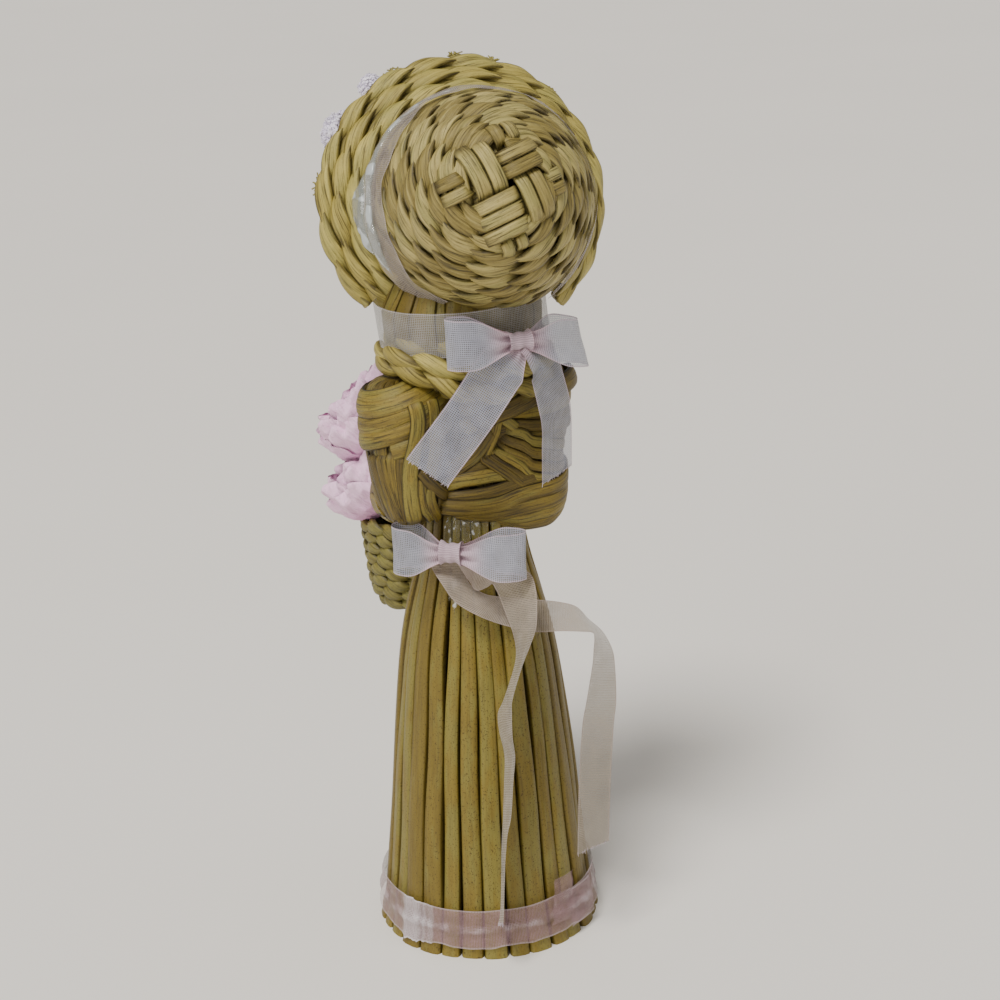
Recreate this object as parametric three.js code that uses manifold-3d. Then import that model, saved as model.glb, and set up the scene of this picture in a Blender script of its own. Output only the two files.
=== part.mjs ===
// Straw doll in a bonnet: a bell skirt of rush stems, wound arms, a twined bonnet, ribbon bows and a flower basket.
// Millimetres, +Z up, origin on the floor under the middle of the hem. The doll faces -Y, its left side is +X.
import * as THREE from "three";
import { mergeVertices } from "three/addons/utils/BufferGeometryUtils.js";
import Module from "manifold-3d";

const wasm = await Module();
wasm.setup();

// Room kept between pieces that touch
const CLEAR = 0.35;

// Skirt: stem centre line as radius and height, from the top under the arms to the cut rim on the floor
const STEM_COUNT = 28;
const STEM_GAP = 0.45;
const STEM_TOP_Z = 97;
const WAIST_Z = 84;
const WAIST_R = 10.4;
const HIP_Z = 60;
const HIP_R = 15.6;
const HEM_Z = 10;
const HEM_R = 20.4;
const RIM_R = 22.1;
const STEM_DEPTH_TOP = 2.2;
const STEM_DEPTH_RIM = 3.4;

// Inner stems behind the gaps, bound to the core
const INNER_COUNT = 14;
const INNER_STEP = 4.3;
const INNER_DIAMETER = 3;
const INNER_LIFT = 1.5;
const INNER_TOP_Z = 86;

// Core bundle, shoulder yoke and head
const CORE_BOTTOM_Z = 76;
const CORE_WAIST_R = 7.3;
const CORE_CHEST_R = 3.6;
const CORE_TAPER = 3;
const BACK_STRIPS = 3;
const BACK_STRIP_WIDTH = 2.9;
const BACK_STRIP_THICKNESS = 2;
const YOKE_BOTTOM_Z = 117.6;
const YOKE_HEIGHT = 9.8;
const YOKE_HALF_WIDTH = 14.4;
const YOKE_HALF_DEPTH = 11;
const YOKE_BEVEL = 2.4;
const NECK_R = 8;
const NECK_Y = -3;

// Shoulder ropes
const ROPE_DIAMETER = 4;
const ROPE_PITCH = 4.5;
const ROPE_REACH = THREE.MathUtils.degToRad(104);
const ROPE_SLANT = 0.8;

// Arms and the flat strip wound round them
const ARM_R = 7;
const ARM_Y = 1.5;
const ARM_LEAN = 0.9;
const ARM_FLUTES = 7;
const FLUTE_DEPTH = 0.7;
const ELBOW_Z = 98;
const ELBOW_SWELL = 0.8;
const RIGHT_ELBOW_DROP = 2.6;
const HAND_R = 3.6;
const HAND_SPREAD = 6;
const STRIP_WIDTH = 2.7;
const STRIP_THICKNESS = 1;
const STRIP_PITCH = 3.2;
const LEFT_TURNS = 4.5;
const RIGHT_TURNS = 3;

// Bonnet: the crown is half of an ellipsoid, the brim flares from its rim
const HAT_X = -4.2;
const HAT_Z = 155.2;
const HAT_TILT = THREE.MathUtils.degToRad(16);
const HAT_YAW = THREE.MathUtils.degToRad(4);
const CROWN_R = 21.2;
const CROWN_H = 28;
const CROWN_WALL = 2.4;
const CROWN_ROWS = 7;
const CROWN_ROW_DEPTH = 0.5;
const CROWN_RIM = THREE.MathUtils.degToRad(-3);
const PLAIT_R = 8.4;
const PLAIT_THICKNESS = 1.8;
const PLAIT_TURN = THREE.MathUtils.degToRad(20);
const BRIM_ROWS = 4;
const BRIM_PITCH = 3.65;
const BRIM_THICKNESS = 3;
const BRIM_VALLEY = 1.8;
const BRIM_REACH = THREE.MathUtils.degToRad(128);
const BRIM_FLARE_TOP = THREE.MathUtils.degToRad(50);
const BRIM_FLARE_END = THREE.MathUtils.degToRad(36);
const BLOSSOM_R = 2.6;
const BLOSSOM_ANGLES = { brim_blossom_upper: -34, brim_blossom_lower: -57 };

// Ribbon: one woven ribbon for the band, collar, bows, tails and hem
const RIBBON_WIDTH = 10;
const RIBBON_THICKNESS = 0.5;
const BAND_BOTTOM = -0.8;
const BAND_HEIGHT = 5.4;
const GLUE_BEAD_R = 0.9;
const GLUE_BEAD_FROM = THREE.MathUtils.degToRad(-35);
const GLUE_BEAD_TO = THREE.MathUtils.degToRad(-118);
const GLUE_BEAD_LUMPS = 7;
const GLUE_PATCH_WIDTH = 8.8;
const GLUE_PATCH_HEIGHT = 10;
const GLUE_THICKNESS = 1.8;
const COLLAR_HEIGHT = 5.4;
const BOW_HALF_THICKNESS = 1.1;
const BOW_DEPTH = 5;
const BOW_BULGE = 3.25;
const BOW_WIDTH = 8.6;
const BOW_PINCH = 0.45;
const KNOT_LENGTH = 5;
const KNOT_WALL = 0.9;
const TAIL_DROP = 2;
const NECK_LOOPS = [13.7, 13.9];
const NECK_BOW_X = -4.9;
const NECK_BOW_Z = 131.6;
const WAIST_LOOPS = [12.4, 15.5];
const WAIST_BOW_Z = 88;
const WAIST_BOW_ANGLE = THREE.MathUtils.degToRad(53.5);
const HEM_RIBBON_Z = 1.5;
const HEM_RIBBON_WIDTH = 9.3;

// Basket and flowers
const BASKET_X = 4;
const BASKET_BOTTOM_Z = 64;
const BASKET_HEIGHT = 22;
const BASKET_BOTTOM_R = 9;
const BASKET_TOP_R = 12;
const BASKET_WALL = 2;
const BASKET_ROWS = 8;
const BASKET_ROW_DEPTH = 0.6;
const PETAL_COUNT = 5;
const FLOWER_STEM_R = 1;

const RUSH = finish(0x9a873c, 0.6);
const ARM_RUSH = finish(0x8f7a30, 0.55);
const HAT_RUSH = finish(0xb5a868, 0.62);
const BASKET_RUSH = finish(0x857c3c, 0.65);
const RIBBON = finish(0xcbb7bb, 0.45);
const GLUE = finish(0xe8e6df, 0.12);
const PAPER = finish(0xeac3dc, 0.9);
const FABRIC = finish(0xd8cfe2, 0.85);

function finish(color, roughness) {
  return new THREE.MeshStandardMaterial({ color, roughness, metalness: 0 });
}

// Shape helpers

function vec(x, y, z) {
  return new THREE.Vector3(x, y, z);
}

// Geometry of points and triangles, turned to face out.
function surface(points, faces) {
  let volume = 0;
  const cross = new THREE.Vector3();
  for (let i = 0; i < faces.length; i += 3) {
    const [a, b, c] = faces.slice(i, i + 3).map((f) => points[f]);
    volume += cross.crossVectors(b, c).dot(a);
  }
  const index = volume < 0 ? [...faces].reverse() : faces;
  return new THREE.BufferGeometry().setFromPoints(points).setIndex(index);
}

// Closed skin over rings that have equally many points, with a fan over each end.
function loft(rings) {
  const sides = rings[0].length;
  const points = rings.flat();
  const faces = [];
  for (let i = 0; i + 1 < rings.length; i++) {
    for (let j = 0; j < sides; j++) {
      const a = i * sides + j;
      const b = i * sides + ((j + 1) % sides);
      faces.push(a, b, b + sides, a, b + sides, a + sides);
    }
  }
  const last = (rings.length - 1) * sides;
  for (const [ring, start, turned] of [[rings[0], 0, true], [rings.at(-1), last, false]]) {
    const middle = ring.reduce((sum, p) => sum.add(p), vec(0, 0, 0)).divideScalar(sides);
    points.push(middle);
    for (let j = 0; j < sides; j++) {
      const a = start + j;
      const b = start + ((j + 1) % sides);
      faces.push(points.length - 1, turned ? b : a, turned ? a : b);
    }
  }
  return surface(points, faces);
}

// Rings of a section carried along a path. The section's first axis is the side direction, made square to the path.
function sweepRings(path, steps, sectionAt, sideAt) {
  const nudge = 0.25 / steps;
  return Array.from({ length: steps + 1 }, (_, i) => {
    const t = i / steps;
    const along = path(Math.min(t + nudge, 1)).sub(path(Math.max(t - nudge, 0))).normalize();
    const side = sideAt(t);
    side.addScaledVector(along, -side.dot(along)).normalize();
    const out = new THREE.Vector3().crossVectors(along, side);
    const middle = path(t);
    return sectionAt(t).map(([a, b]) => middle.clone().addScaledVector(side, a).addScaledVector(out, b));
  });
}

function sweep(path, steps, sectionAt, sideAt) {
  return loft(sweepRings(path, steps, sectionAt, sideAt));
}

function ellipse(width, depth, sides) {
  return Array.from({ length: sides }, (_, i) => {
    const a = (2 * Math.PI * (i + 0.5)) / sides;
    return [(width / 2) * Math.cos(a), (depth / 2) * Math.sin(a)];
  });
}

// Flat strip section with thinned edges.
function strip(width, thickness) {
  const w = width / 2;
  const t = thickness / 2;
  return [[w, 0], [w * 0.7, t], [-w * 0.7, t], [-w, 0], [-w * 0.7, -t], [w * 0.7, -t]];
}

function ribbonSection(width) {
  const w = width / 2;
  const t = RIBBON_THICKNESS / 2;
  return [[w, t], [-w, t], [-w, -t], [w, -t]];
}

// Round bundle of strips: a circle with grooves.
function fluted(radius) {
  return Array.from({ length: 2 * ARM_FLUTES }, (_, i) => {
    const a = (Math.PI * i) / ARM_FLUTES;
    const r = i % 2 ? radius - FLUTE_DEPTH : radius;
    return [r * Math.cos(a), r * Math.sin(a)];
  });
}

// Closed revolve of radius and height pairs round +Z.
function revolve(profile, segments) {
  const points = profile.map(([r, z]) => new THREE.Vector2(r, z));
  const geometry = new THREE.LatheGeometry(points, segments).rotateX(Math.PI / 2);
  return weld(geometry);
}

function weld(geometry) {
  geometry.deleteAttribute("normal");
  geometry.deleteAttribute("uv");
  const merged = mergeVertices(geometry, 1e-4);
  const place = merged.getAttribute("position");
  const points = Array.from({ length: place.count }, (_, i) => vec(0, 0, 0).fromBufferAttribute(place, i));
  const faces = [];
  const index = merged.getIndex().array;
  for (let i = 0; i < index.length; i += 3) {
    const [a, b, c] = index.slice(i, i + 3);
    if (a !== b && b !== c && c !== a) faces.push(a, b, c);
  }
  return surface(points, faces);
}

function solid(geometry) {
  const { position } = geometry.attributes;
  const triVerts = new Uint32Array(geometry.getIndex().array);
  return new wasm.Manifold(new wasm.Mesh({ numProp: 3, vertProperties: position.array, triVerts }));
}

function shell(made) {
  const { vertProperties, triVerts } = made.getMesh();
  return new THREE.BufferGeometry()
    .setAttribute("position", new THREE.BufferAttribute(vertProperties, 3))
    .setIndex(new THREE.BufferAttribute(triVerts, 1));
}

function join(...geometries) {
  return shell(geometries.map(solid).reduce((a, b) => a.add(b)));
}

function cut(geometry, ...tools) {
  return shell(tools.map(solid).reduce((a, b) => a.subtract(b), solid(geometry)));
}

function smooth(points) {
  const curve = new THREE.CatmullRomCurve3(points);
  return (t) => curve.getPoint(t);
}

const doll = new THREE.Group();

function add(name, geometry, material, parent = doll) {
  const mesh = new THREE.Mesh(geometry, material);
  mesh.name = name;
  parent.add(mesh);
  return mesh;
}

// Skirt

const stemLine = smooth([
  vec(RIM_R, 0, 0),
  vec(HEM_R, 0, HEM_Z),
  vec(HIP_R, 0, HIP_Z),
  vec(WAIST_R, 0, WAIST_Z),
  vec(CORE_WAIST_R + CLEAR + STEM_DEPTH_TOP / 2, 0, STEM_TOP_Z),
]);
const STEM_RINGS = [0, 0.125, 0.25, 0.375, 0.5, 0.75, 1];

// Radius of the stems' centre line at a height.
function skirtRadius(z) {
  let low = 0;
  let high = 1;
  for (let i = 0; i < 30; i++) {
    const middle = (low + high) / 2;
    if (stemLine(middle).z < z) low = middle;
    else high = middle;
  }
  return stemLine(low).x;
}

function stemDepth(z) {
  return THREE.MathUtils.lerp(STEM_DEPTH_RIM, STEM_DEPTH_TOP, z / STEM_TOP_Z);
}

function skirtOuter(z) {
  return skirtRadius(z) + stemDepth(z) / 2;
}

function skirtStem() {
  const rings = STEM_RINGS.map((t) => {
    const { x: r, z } = stemLine(t);
    const width = 2 * r * Math.sin(Math.PI / STEM_COUNT) - STEM_GAP;
    return ellipse(stemDepth(z), width, 8).map(([a, b]) => vec(r + a, b, z));
  });
  return loft(rings);
}

const stemShape = skirtStem();
for (let i = 0; i < STEM_COUNT; i++) {
  const stem = add("skirt_stem_" + String(i + 1).padStart(2, "0"), stemShape, RUSH);
  stem.rotation.z = (2 * Math.PI * i) / STEM_COUNT;
}

// Solid of the space that the stems take up, with room round it.
function skirtSpace() {
  const side = STEM_RINGS.map((t) => {
    const { z } = stemLine(t);
    return [skirtOuter(z) + CLEAR, z];
  });
  const top = STEM_TOP_Z + CLEAR;
  return revolve([[0, 0], ...side, [side.at(-1)[0], top], [0, top]], STEM_COUNT);
}

// Core with the inner stems bound to it
function core() {
  const top = YOKE_BOTTOM_Z - CLEAR;
  return revolve(
    [
      [0, CORE_BOTTOM_Z],
      [CORE_WAIST_R, CORE_BOTTOM_Z],
      [CORE_WAIST_R, STEM_TOP_Z - CORE_TAPER],
      [CORE_CHEST_R, STEM_TOP_Z],
      [CORE_CHEST_R, top],
      [0, top],
    ],
    20,
  );
}

function innerStem(angle) {
  const steps = 4;
  const rings = Array.from({ length: steps + 1 }, (_, i) => {
    const z = THREE.MathUtils.lerp(INNER_LIFT, INNER_TOP_Z, i / steps);
    const r = skirtRadius(z) - INNER_STEP;
    return ellipse(INNER_DIAMETER, INNER_DIAMETER, 5).map(([a, b]) => vec(r + a, b, z));
  });
  return loft(rings).rotateZ(angle);
}

const innerAngles = Array.from({ length: INNER_COUNT }, (_, i) => (2 * Math.PI * (i + 0.25)) / INNER_COUNT);
add("inner_stems", join(core(), ...innerAngles.map(innerStem)), RUSH);

// Upright strips up the middle of the back, side by side
function backStrips() {
  const face = Array.from({ length: 2 * BACK_STRIPS + 1 }, (_, i) => {
    const groove = i % 2 ? 0 : FLUTE_DEPTH;
    return [BACK_STRIP_WIDTH * (i / 2 - BACK_STRIPS / 2), BACK_STRIP_THICKNESS - groove];
  });
  const half = (BACK_STRIP_WIDTH * BACK_STRIPS) / 2;
  const y = CORE_CHEST_R + CLEAR;
  const outline = [[half, 0], ...face.toReversed(), [-half, 0]];
  const ring = (z) => outline.map(([a, b]) => vec(ARM_LEAN + a, y + b, z));
  return loft([ring(STEM_TOP_Z + CLEAR), ring(YOKE_BOTTOM_Z - CLEAR)]);
}

add("back_strips", backStrips(), RUSH);

// Shoulders
const yokeTop = YOKE_BOTTOM_Z + YOKE_HEIGHT;
add(
  "shoulder_yoke",
  revolve(
    [
      [0, YOKE_BOTTOM_Z],
      [YOKE_HALF_DEPTH - YOKE_BEVEL, YOKE_BOTTOM_Z],
      [YOKE_HALF_DEPTH, YOKE_BOTTOM_Z + YOKE_BEVEL],
      [YOKE_HALF_DEPTH, yokeTop - YOKE_BEVEL],
      [YOKE_HALF_DEPTH - YOKE_BEVEL, yokeTop],
      [0, yokeTop],
    ],
    28,
  ).scale(YOKE_HALF_WIDTH / YOKE_HALF_DEPTH, 1, 1),
  ARM_RUSH,
);

const ropeHalfWidth = YOKE_HALF_WIDTH + CLEAR + ROPE_DIAMETER / 2;
const ropeHalfDepth = YOKE_HALF_DEPTH + CLEAR + ROPE_DIAMETER / 2;
const lowerRopeZ = YOKE_BOTTOM_Z + ROPE_DIAMETER / 2 + ROPE_SLANT;
const ropesTop = lowerRopeZ + ROPE_PITCH + ROPE_SLANT + ROPE_DIAMETER / 2;

function shoulderRope(z) {
  const path = (t) => {
    const a = ROPE_REACH * (1 - 2 * t);
    return vec(ropeHalfWidth * Math.sin(a), ropeHalfDepth * Math.cos(a), z + ROPE_SLANT * Math.sin(a));
  };
  return sweep(path, 16, () => ellipse(ROPE_DIAMETER, ROPE_DIAMETER, 7), () => vec(0, 0, 1));
}

add("shoulder_rope_lower", shoulderRope(lowerRopeZ), HAT_RUSH);
add("shoulder_rope_upper", shoulderRope(lowerRopeZ + ROPE_PITCH), HAT_RUSH);

// Basket with wavy rows
const basketTop = BASKET_BOTTOM_Z + BASKET_HEIGHT;
const basketY = -(skirtOuter(BASKET_BOTTOM_Z) + CLEAR + BASKET_BOTTOM_R + BASKET_ROW_DEPTH);

function basketSide(grow) {
  return Array.from({ length: 2 * BASKET_ROWS + 1 }, (_, i) => {
    const t = i / (2 * BASKET_ROWS);
    const r = THREE.MathUtils.lerp(BASKET_BOTTOM_R, BASKET_TOP_R, Math.sqrt(t));
    return [r + grow + (i % 2 ? BASKET_ROW_DEPTH : 0), BASKET_BOTTOM_Z + t * BASKET_HEIGHT];
  });
}

const basketWall = [
  [0, BASKET_BOTTOM_Z],
  ...basketSide(0),
  [BASKET_TOP_R - BASKET_WALL, basketTop],
  [BASKET_BOTTOM_R - BASKET_WALL, BASKET_BOTTOM_Z + BASKET_WALL],
  [0, BASKET_BOTTOM_Z + BASKET_WALL],
];
add("basket", revolve(basketWall, 20), BASKET_RUSH).position.set(BASKET_X, basketY, 0);

// Arms: fluted bundles that fold forward to the basket's rim, and the strips wound round them
const armX = CORE_CHEST_R + ARM_LEAN + 2 * CLEAR + STRIP_THICKNESS + ARM_R;
const armTop = YOKE_BOTTOM_Z - CLEAR;
const windingTop = armTop - STRIP_WIDTH / 2 - CLEAR;
const handZ = basketTop + CLEAR + HAND_R;

function arm(side, handX, turns, drop) {
  const x = side * armX + ARM_LEAN;
  const top = vec(x, ARM_Y, armTop);
  const bend = vec(x, ARM_Y, windingTop - LEFT_TURNS * STRIP_PITCH - STRIP_WIDTH / 2 - drop);
  const elbow = vec(x - side * CLEAR, ARM_Y - ARM_R / 2, ELBOW_Z - CLEAR - drop);
  const hand = vec(handX, basketY + BASKET_TOP_R - HAND_R / 2, handZ);
  const forearm = elbow.clone().lerp(hand, 0.5).add(vec(side * CLEAR, 0, 0));
  const route = new THREE.CurvePath();
  route.add(new THREE.LineCurve3(top, bend));
  route.add(new THREE.CatmullRomCurve3([bend, bend.clone().setZ(bend.z - ARM_R / 4), elbow, forearm, hand]));
  const swell = (t) => ELBOW_SWELL * Math.sin(Math.PI * THREE.MathUtils.smoothstep(t, 0.36, 0.7));
  const radius = (t) => THREE.MathUtils.lerp(ARM_R, HAND_R, THREE.MathUtils.smoothstep(t, 0.55, 1)) + swell(t);
  const path = (t) => route.getPoint(t);
  const bundle = sweep(path, 12, (t) => fluted(radius(t)), () => vec(side, 0, 0));
  const inner = ARM_R + CLEAR / 10;
  const outer = ARM_R + STRIP_THICKNESS + 3 * CLEAR;
  const floor = windingTop - turns * STRIP_PITCH - STRIP_WIDTH / 2 - CLEAR;
  const ring = [[inner, floor], [outer, floor], [outer, armTop + CLEAR], [inner, armTop + CLEAR], [inner, floor]];
  const windingRoom = revolve(ring, 20).translate(x, ARM_Y, 0);
  return cut(bundle, skirtSpace(), windingRoom);
}

add("left_arm", arm(1, BASKET_X + HAND_SPREAD, LEFT_TURNS, 0), ARM_RUSH);
add("right_arm", arm(-1, BASKET_X - HAND_SPREAD, RIGHT_TURNS, RIGHT_ELBOW_DROP), ARM_RUSH);

// One unbroken strip wound round an upper arm.
function winding(name, side, turns) {
  const LOOP_STEPS = 18;
  const steps = Math.round(turns * LOOP_STEPS);
  const r = ARM_R + CLEAR + STRIP_THICKNESS / 2;
  const x = side * armX + ARM_LEAN;
  const path = (t) => {
    const a = 2 * Math.PI * turns * t * side;
    return vec(x + r * Math.sin(a), ARM_Y - r * Math.cos(a), windingTop - t * turns * STRIP_PITCH);
  };
  const rings = sweepRings(path, steps, () => strip(STRIP_WIDTH, STRIP_THICKNESS), () => vec(0, 0, 1));
  let least = Infinity;
  rings.forEach((ring, i) =>
    rings.slice(i + LOOP_STEPS / 2).forEach((other) =>
      ring.forEach((p) => other.forEach((q) => (least = Math.min(least, p.distanceTo(q))))),
    ),
  );
  console.log(name + ": least gap of the winding to itself " + least.toFixed(2) + " mm");
  add(name, loft(rings), ARM_RUSH);
}

winding("left_arm_winding", 1, LEFT_TURNS);
winding("right_arm_winding", -1, RIGHT_TURNS);

// Bonnet, in a frame of its own: origin in the middle of the crown's rim, X to the doll's right, Y up, Z to the back
const hat = new THREE.Group();
const hatYaw = new THREE.Matrix4().makeRotationZ(-HAT_YAW);
const hatRight = vec(-1, 0, 0).applyMatrix4(hatYaw);
const hatUp = vec(0, -Math.sin(HAT_TILT), Math.cos(HAT_TILT)).applyMatrix4(hatYaw);
const hatBack = vec(0, Math.cos(HAT_TILT), Math.sin(HAT_TILT)).applyMatrix4(hatYaw);
const hatPlace = new THREE.Matrix4().makeBasis(hatRight, hatUp, hatBack).setPosition(HAT_X, 0, HAT_Z);
hatPlace.decompose(hat.position, hat.quaternion, hat.scale);
doll.add(hat);

// Head: a plain ball in the crown, on a neck that stands on the yoke
const headR = CROWN_R - CROWN_WALL - 2 * CLEAR;
const headCentre = vec(HAT_X, 0, HAT_Z).addScaledVector(hatBack, NECK_R / 4);

function neck(grow, bottom, top) {
  const r = NECK_R + grow;
  return revolve([[0, bottom], [r, bottom], [r, top], [0, top]], 16).translate(HAT_X, NECK_Y, 0);
}

const ball = weld(new THREE.SphereGeometry(headR, 16, 10)).translate(...headCentre.toArray());
add("head", join(ball, neck(0, yokeTop + CLEAR, headCentre.z)), RUSH);

const neckRoom = neck(CLEAR, yokeTop, headCentre.z).applyMatrix4(hatPlace.clone().invert());

// Crown: rows of twining on an ellipse, closed at the apex by a plait of four strips
const crownTopAngle = Math.acos(PLAIT_R / CROWN_R);
const crownTop = CROWN_H * Math.sin(crownTopAngle);

function crownProfile() {
  const outer = Array.from({ length: 2 * CROWN_ROWS + 1 }, (_, i) => {
    const a = THREE.MathUtils.lerp(CROWN_RIM, crownTopAngle, i / (2 * CROWN_ROWS));
    const bulge = i % 2 ? CROWN_ROW_DEPTH : 0;
    return [(CROWN_R + bulge) * Math.cos(a), (CROWN_H + bulge) * Math.sin(a)];
  });
  const inner = Array.from({ length: CROWN_ROWS + 1 }, (_, i) => {
    const a = THREE.MathUtils.lerp(Math.PI / 2, 0, i / CROWN_ROWS);
    return [(CROWN_R - CROWN_WALL) * Math.cos(a), (crownTop - CROWN_WALL) * Math.sin(a)];
  });
  inner[0][0] = 0;
  const rim = [CROWN_R - CROWN_WALL, outer[0][1]];
  return [...inner, rim, ...outer, [0, crownTop]];
}

function plaitStrip(column, row, upright) {
  const half = PLAIT_R / 2;
  const middle = vec(column * half, row * half, crownTop);
  const along = upright ? vec(0, 1, 0) : vec(1, 0, 0);
  const path = (t) => {
    const lift = PLAIT_THICKNESS * Math.sin(Math.PI * t) - CLEAR;
    return middle.clone().addScaledVector(along, PLAIT_R * (t - 0.5)).add(vec(0, 0, lift));
  };
  const side = upright ? vec(1, 0, 0) : vec(0, 1, 0);
  return sweep(path, 4, () => strip(PLAIT_R - CLEAR, PLAIT_THICKNESS), () => side.clone()).rotateZ(PLAIT_TURN);
}

const plait = [plaitStrip(-1, 1, true), plaitStrip(1, 1, false), plaitStrip(-1, -1, false), plaitStrip(1, -1, true)];
add("hat_crown", cut(join(revolve(crownProfile(), 26), ...plait), neckRoom), HAT_RUSH, hat);

// Brim: rope rows side by side in a horseshoe
const brimStartR = CROWN_R - CROWN_WALL / 2;
const brimStartZ = CROWN_H * Math.sin(CROWN_RIM) - CLEAR - BRIM_VALLEY / 2;

// Point of the brim at an angle from the top, a distance out from the crown, and a height over its middle.
function brimPoint(angle, out, over) {
  const share = Math.abs(angle) / BRIM_REACH;
  const flare = THREE.MathUtils.lerp(BRIM_FLARE_TOP, BRIM_FLARE_END, share * share);
  const r = brimStartR + out * Math.sin(flare) + over * Math.cos(flare);
  const z = brimStartZ - out * Math.cos(flare) + over * Math.sin(flare);
  return vec(r * Math.sin(angle), r * Math.cos(angle), z);
}

function brimRing(angle) {
  const edge = Array.from({ length: 2 * BRIM_ROWS + 1 }, (_, i) => {
    const thick = i % 2 ? BRIM_THICKNESS : BRIM_VALLEY;
    return [(i * BRIM_PITCH) / 2, thick / 2];
  });
  const back = edge.map(([out, half]) => brimPoint(angle, out, half));
  const front = edge.map(([out, half]) => brimPoint(angle, out, -half)).reverse();
  return [...back, ...front];
}

const BRIM_STEPS = 22;
const brimRings = Array.from({ length: BRIM_STEPS + 1 }, (_, i) => brimRing(BRIM_REACH * ((2 * i) / BRIM_STEPS - 1)));
add("hat_brim", loft(brimRings), HAT_RUSH, hat);

for (const [name, degrees] of Object.entries(BLOSSOM_ANGLES)) {
  const angle = THREE.MathUtils.degToRad(degrees);
  const blossom = weld(new THREE.IcosahedronGeometry(BLOSSOM_R, 1)).scale(1, 1, 0.7);
  const place = brimPoint(angle, BRIM_ROWS * BRIM_PITCH, -BRIM_VALLEY / 2 - BLOSSOM_R - CLEAR);
  add(name, blossom, FABRIC, hat).position.copy(place);
}

// Band of ribbon round the crown behind the brim, with a bead of glue along the doll's left side
const bandR = CROWN_R + CROWN_ROW_DEPTH + CLEAR;
const bandOuter = bandR + RIBBON_THICKNESS;
const bandProfile = [
  [bandR, BAND_BOTTOM],
  [bandOuter, BAND_BOTTOM],
  [bandOuter, BAND_BOTTOM + BAND_HEIGHT],
  [bandR, BAND_BOTTOM + BAND_HEIGHT],
  [bandR, BAND_BOTTOM],
];
add("hat_band", cut(revolve(bandProfile, 32), neckRoom), RIBBON, hat);

function glueBead() {
  const r = bandOuter + CLEAR + GLUE_BEAD_R;
  const path = (t) => {
    const a = THREE.MathUtils.lerp(GLUE_BEAD_FROM, GLUE_BEAD_TO, t);
    return vec(r * Math.sin(a), r * Math.cos(a), BAND_BOTTOM + BAND_HEIGHT / 2);
  };
  const width = (t) => GLUE_BEAD_R * (1.6 + 0.4 * Math.cos(2 * Math.PI * GLUE_BEAD_LUMPS * t));
  return sweep(path, 4 * GLUE_BEAD_LUMPS, (t) => ellipse(width(t), width(t), 5), () => vec(0, 0, 1));
}

add("hat_glue", glueBead(), GLUE, hat);

// Neck ribbon: a collar that rests on the upper shoulder rope, under the bonnet
const collarBottom = ropesTop + CLEAR;
const collarOuter = 1 + RIBBON_THICKNESS / ropeHalfDepth;
const collarProfile = [
  [ropeHalfDepth, collarBottom],
  [ropeHalfDepth * collarOuter, collarBottom],
  [ropeHalfDepth * collarOuter, collarBottom + COLLAR_HEIGHT],
  [ropeHalfDepth, collarBottom + COLLAR_HEIGHT],
  [ropeHalfDepth, collarBottom],
];
add("neck_ribbon", revolve(collarProfile, 30).scale(ropeHalfWidth / ropeHalfDepth, 1, 1), RIBBON);

// Bows: X across, Y away from the doll, Z along the ribbon's width
const bowFlat = KNOT_LENGTH / 2 + CLEAR;
const bowPinched = (BOW_WIDTH * BOW_PINCH) / 2;
const knotHalf = bowPinched + CLEAR + KNOT_WALL;
const knotDepth = BOW_HALF_THICKNESS + CLEAR + KNOT_WALL;

function bowLoop(length) {
  const near = bowFlat + 0.35 * length;
  const root = bowFlat - CLEAR / 2;
  const outline = new THREE.Shape();
  outline.moveTo(root, -BOW_HALF_THICKNESS);
  outline.bezierCurveTo(near, -BOW_BULGE, length, -BOW_BULGE, length, 0);
  outline.bezierCurveTo(length, BOW_BULGE, near, BOW_BULGE, root, BOW_HALF_THICKNESS);
  const inside = new THREE.Path();
  const inner = BOW_BULGE - 1.4 * RIBBON_THICKNESS;
  const innerTip = length - RIBBON_THICKNESS;
  const innerRoot = bowFlat + 2 * BOW_HALF_THICKNESS;
  inside.moveTo(innerRoot, 0);
  inside.bezierCurveTo(near, -inner, innerTip, -inner, innerTip, 0);
  inside.bezierCurveTo(innerTip, inner, near, inner, innerRoot, 0);
  outline.holes.push(inside);
  const band = new THREE.ExtrudeGeometry(outline, { depth: BOW_WIDTH, bevelEnabled: false, curveSegments: 6 });
  const loop = weld(band.translate(0, 0, -BOW_WIDTH / 2));
  const place = loop.getAttribute("position");
  for (let i = 0; i < place.count; i++) {
    const spread = THREE.MathUtils.smoothstep(place.getX(i), bowFlat, 0.7 * length);
    place.setZ(i, place.getZ(i) * THREE.MathUtils.lerp(BOW_PINCH, 1, spread));
  }
  return loop;
}

function bowLoops([left, right]) {
  const waist = weld(new THREE.BoxGeometry(2 * bowFlat, 2 * BOW_HALF_THICKNESS, 2 * bowPinched));
  return join(waist, bowLoop(left), bowLoop(right).rotateZ(Math.PI));
}

function rectangle(target, halfWidth, halfHeight, corner) {
  target.moveTo(halfWidth, -halfHeight + corner);
  for (const [x, y] of [[1, 1], [-1, 1], [-1, -1], [1, -1]]) {
    const turned = x === y;
    const [w, h] = [x * halfWidth, y * halfHeight];
    target.lineTo(w - (turned ? 0 : x * corner), h - (turned ? y * corner : 0));
    target.quadraticCurveTo(w, h, w - (turned ? x * corner : 0), h - (turned ? 0 : y * corner));
  }
  return target;
}

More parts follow.
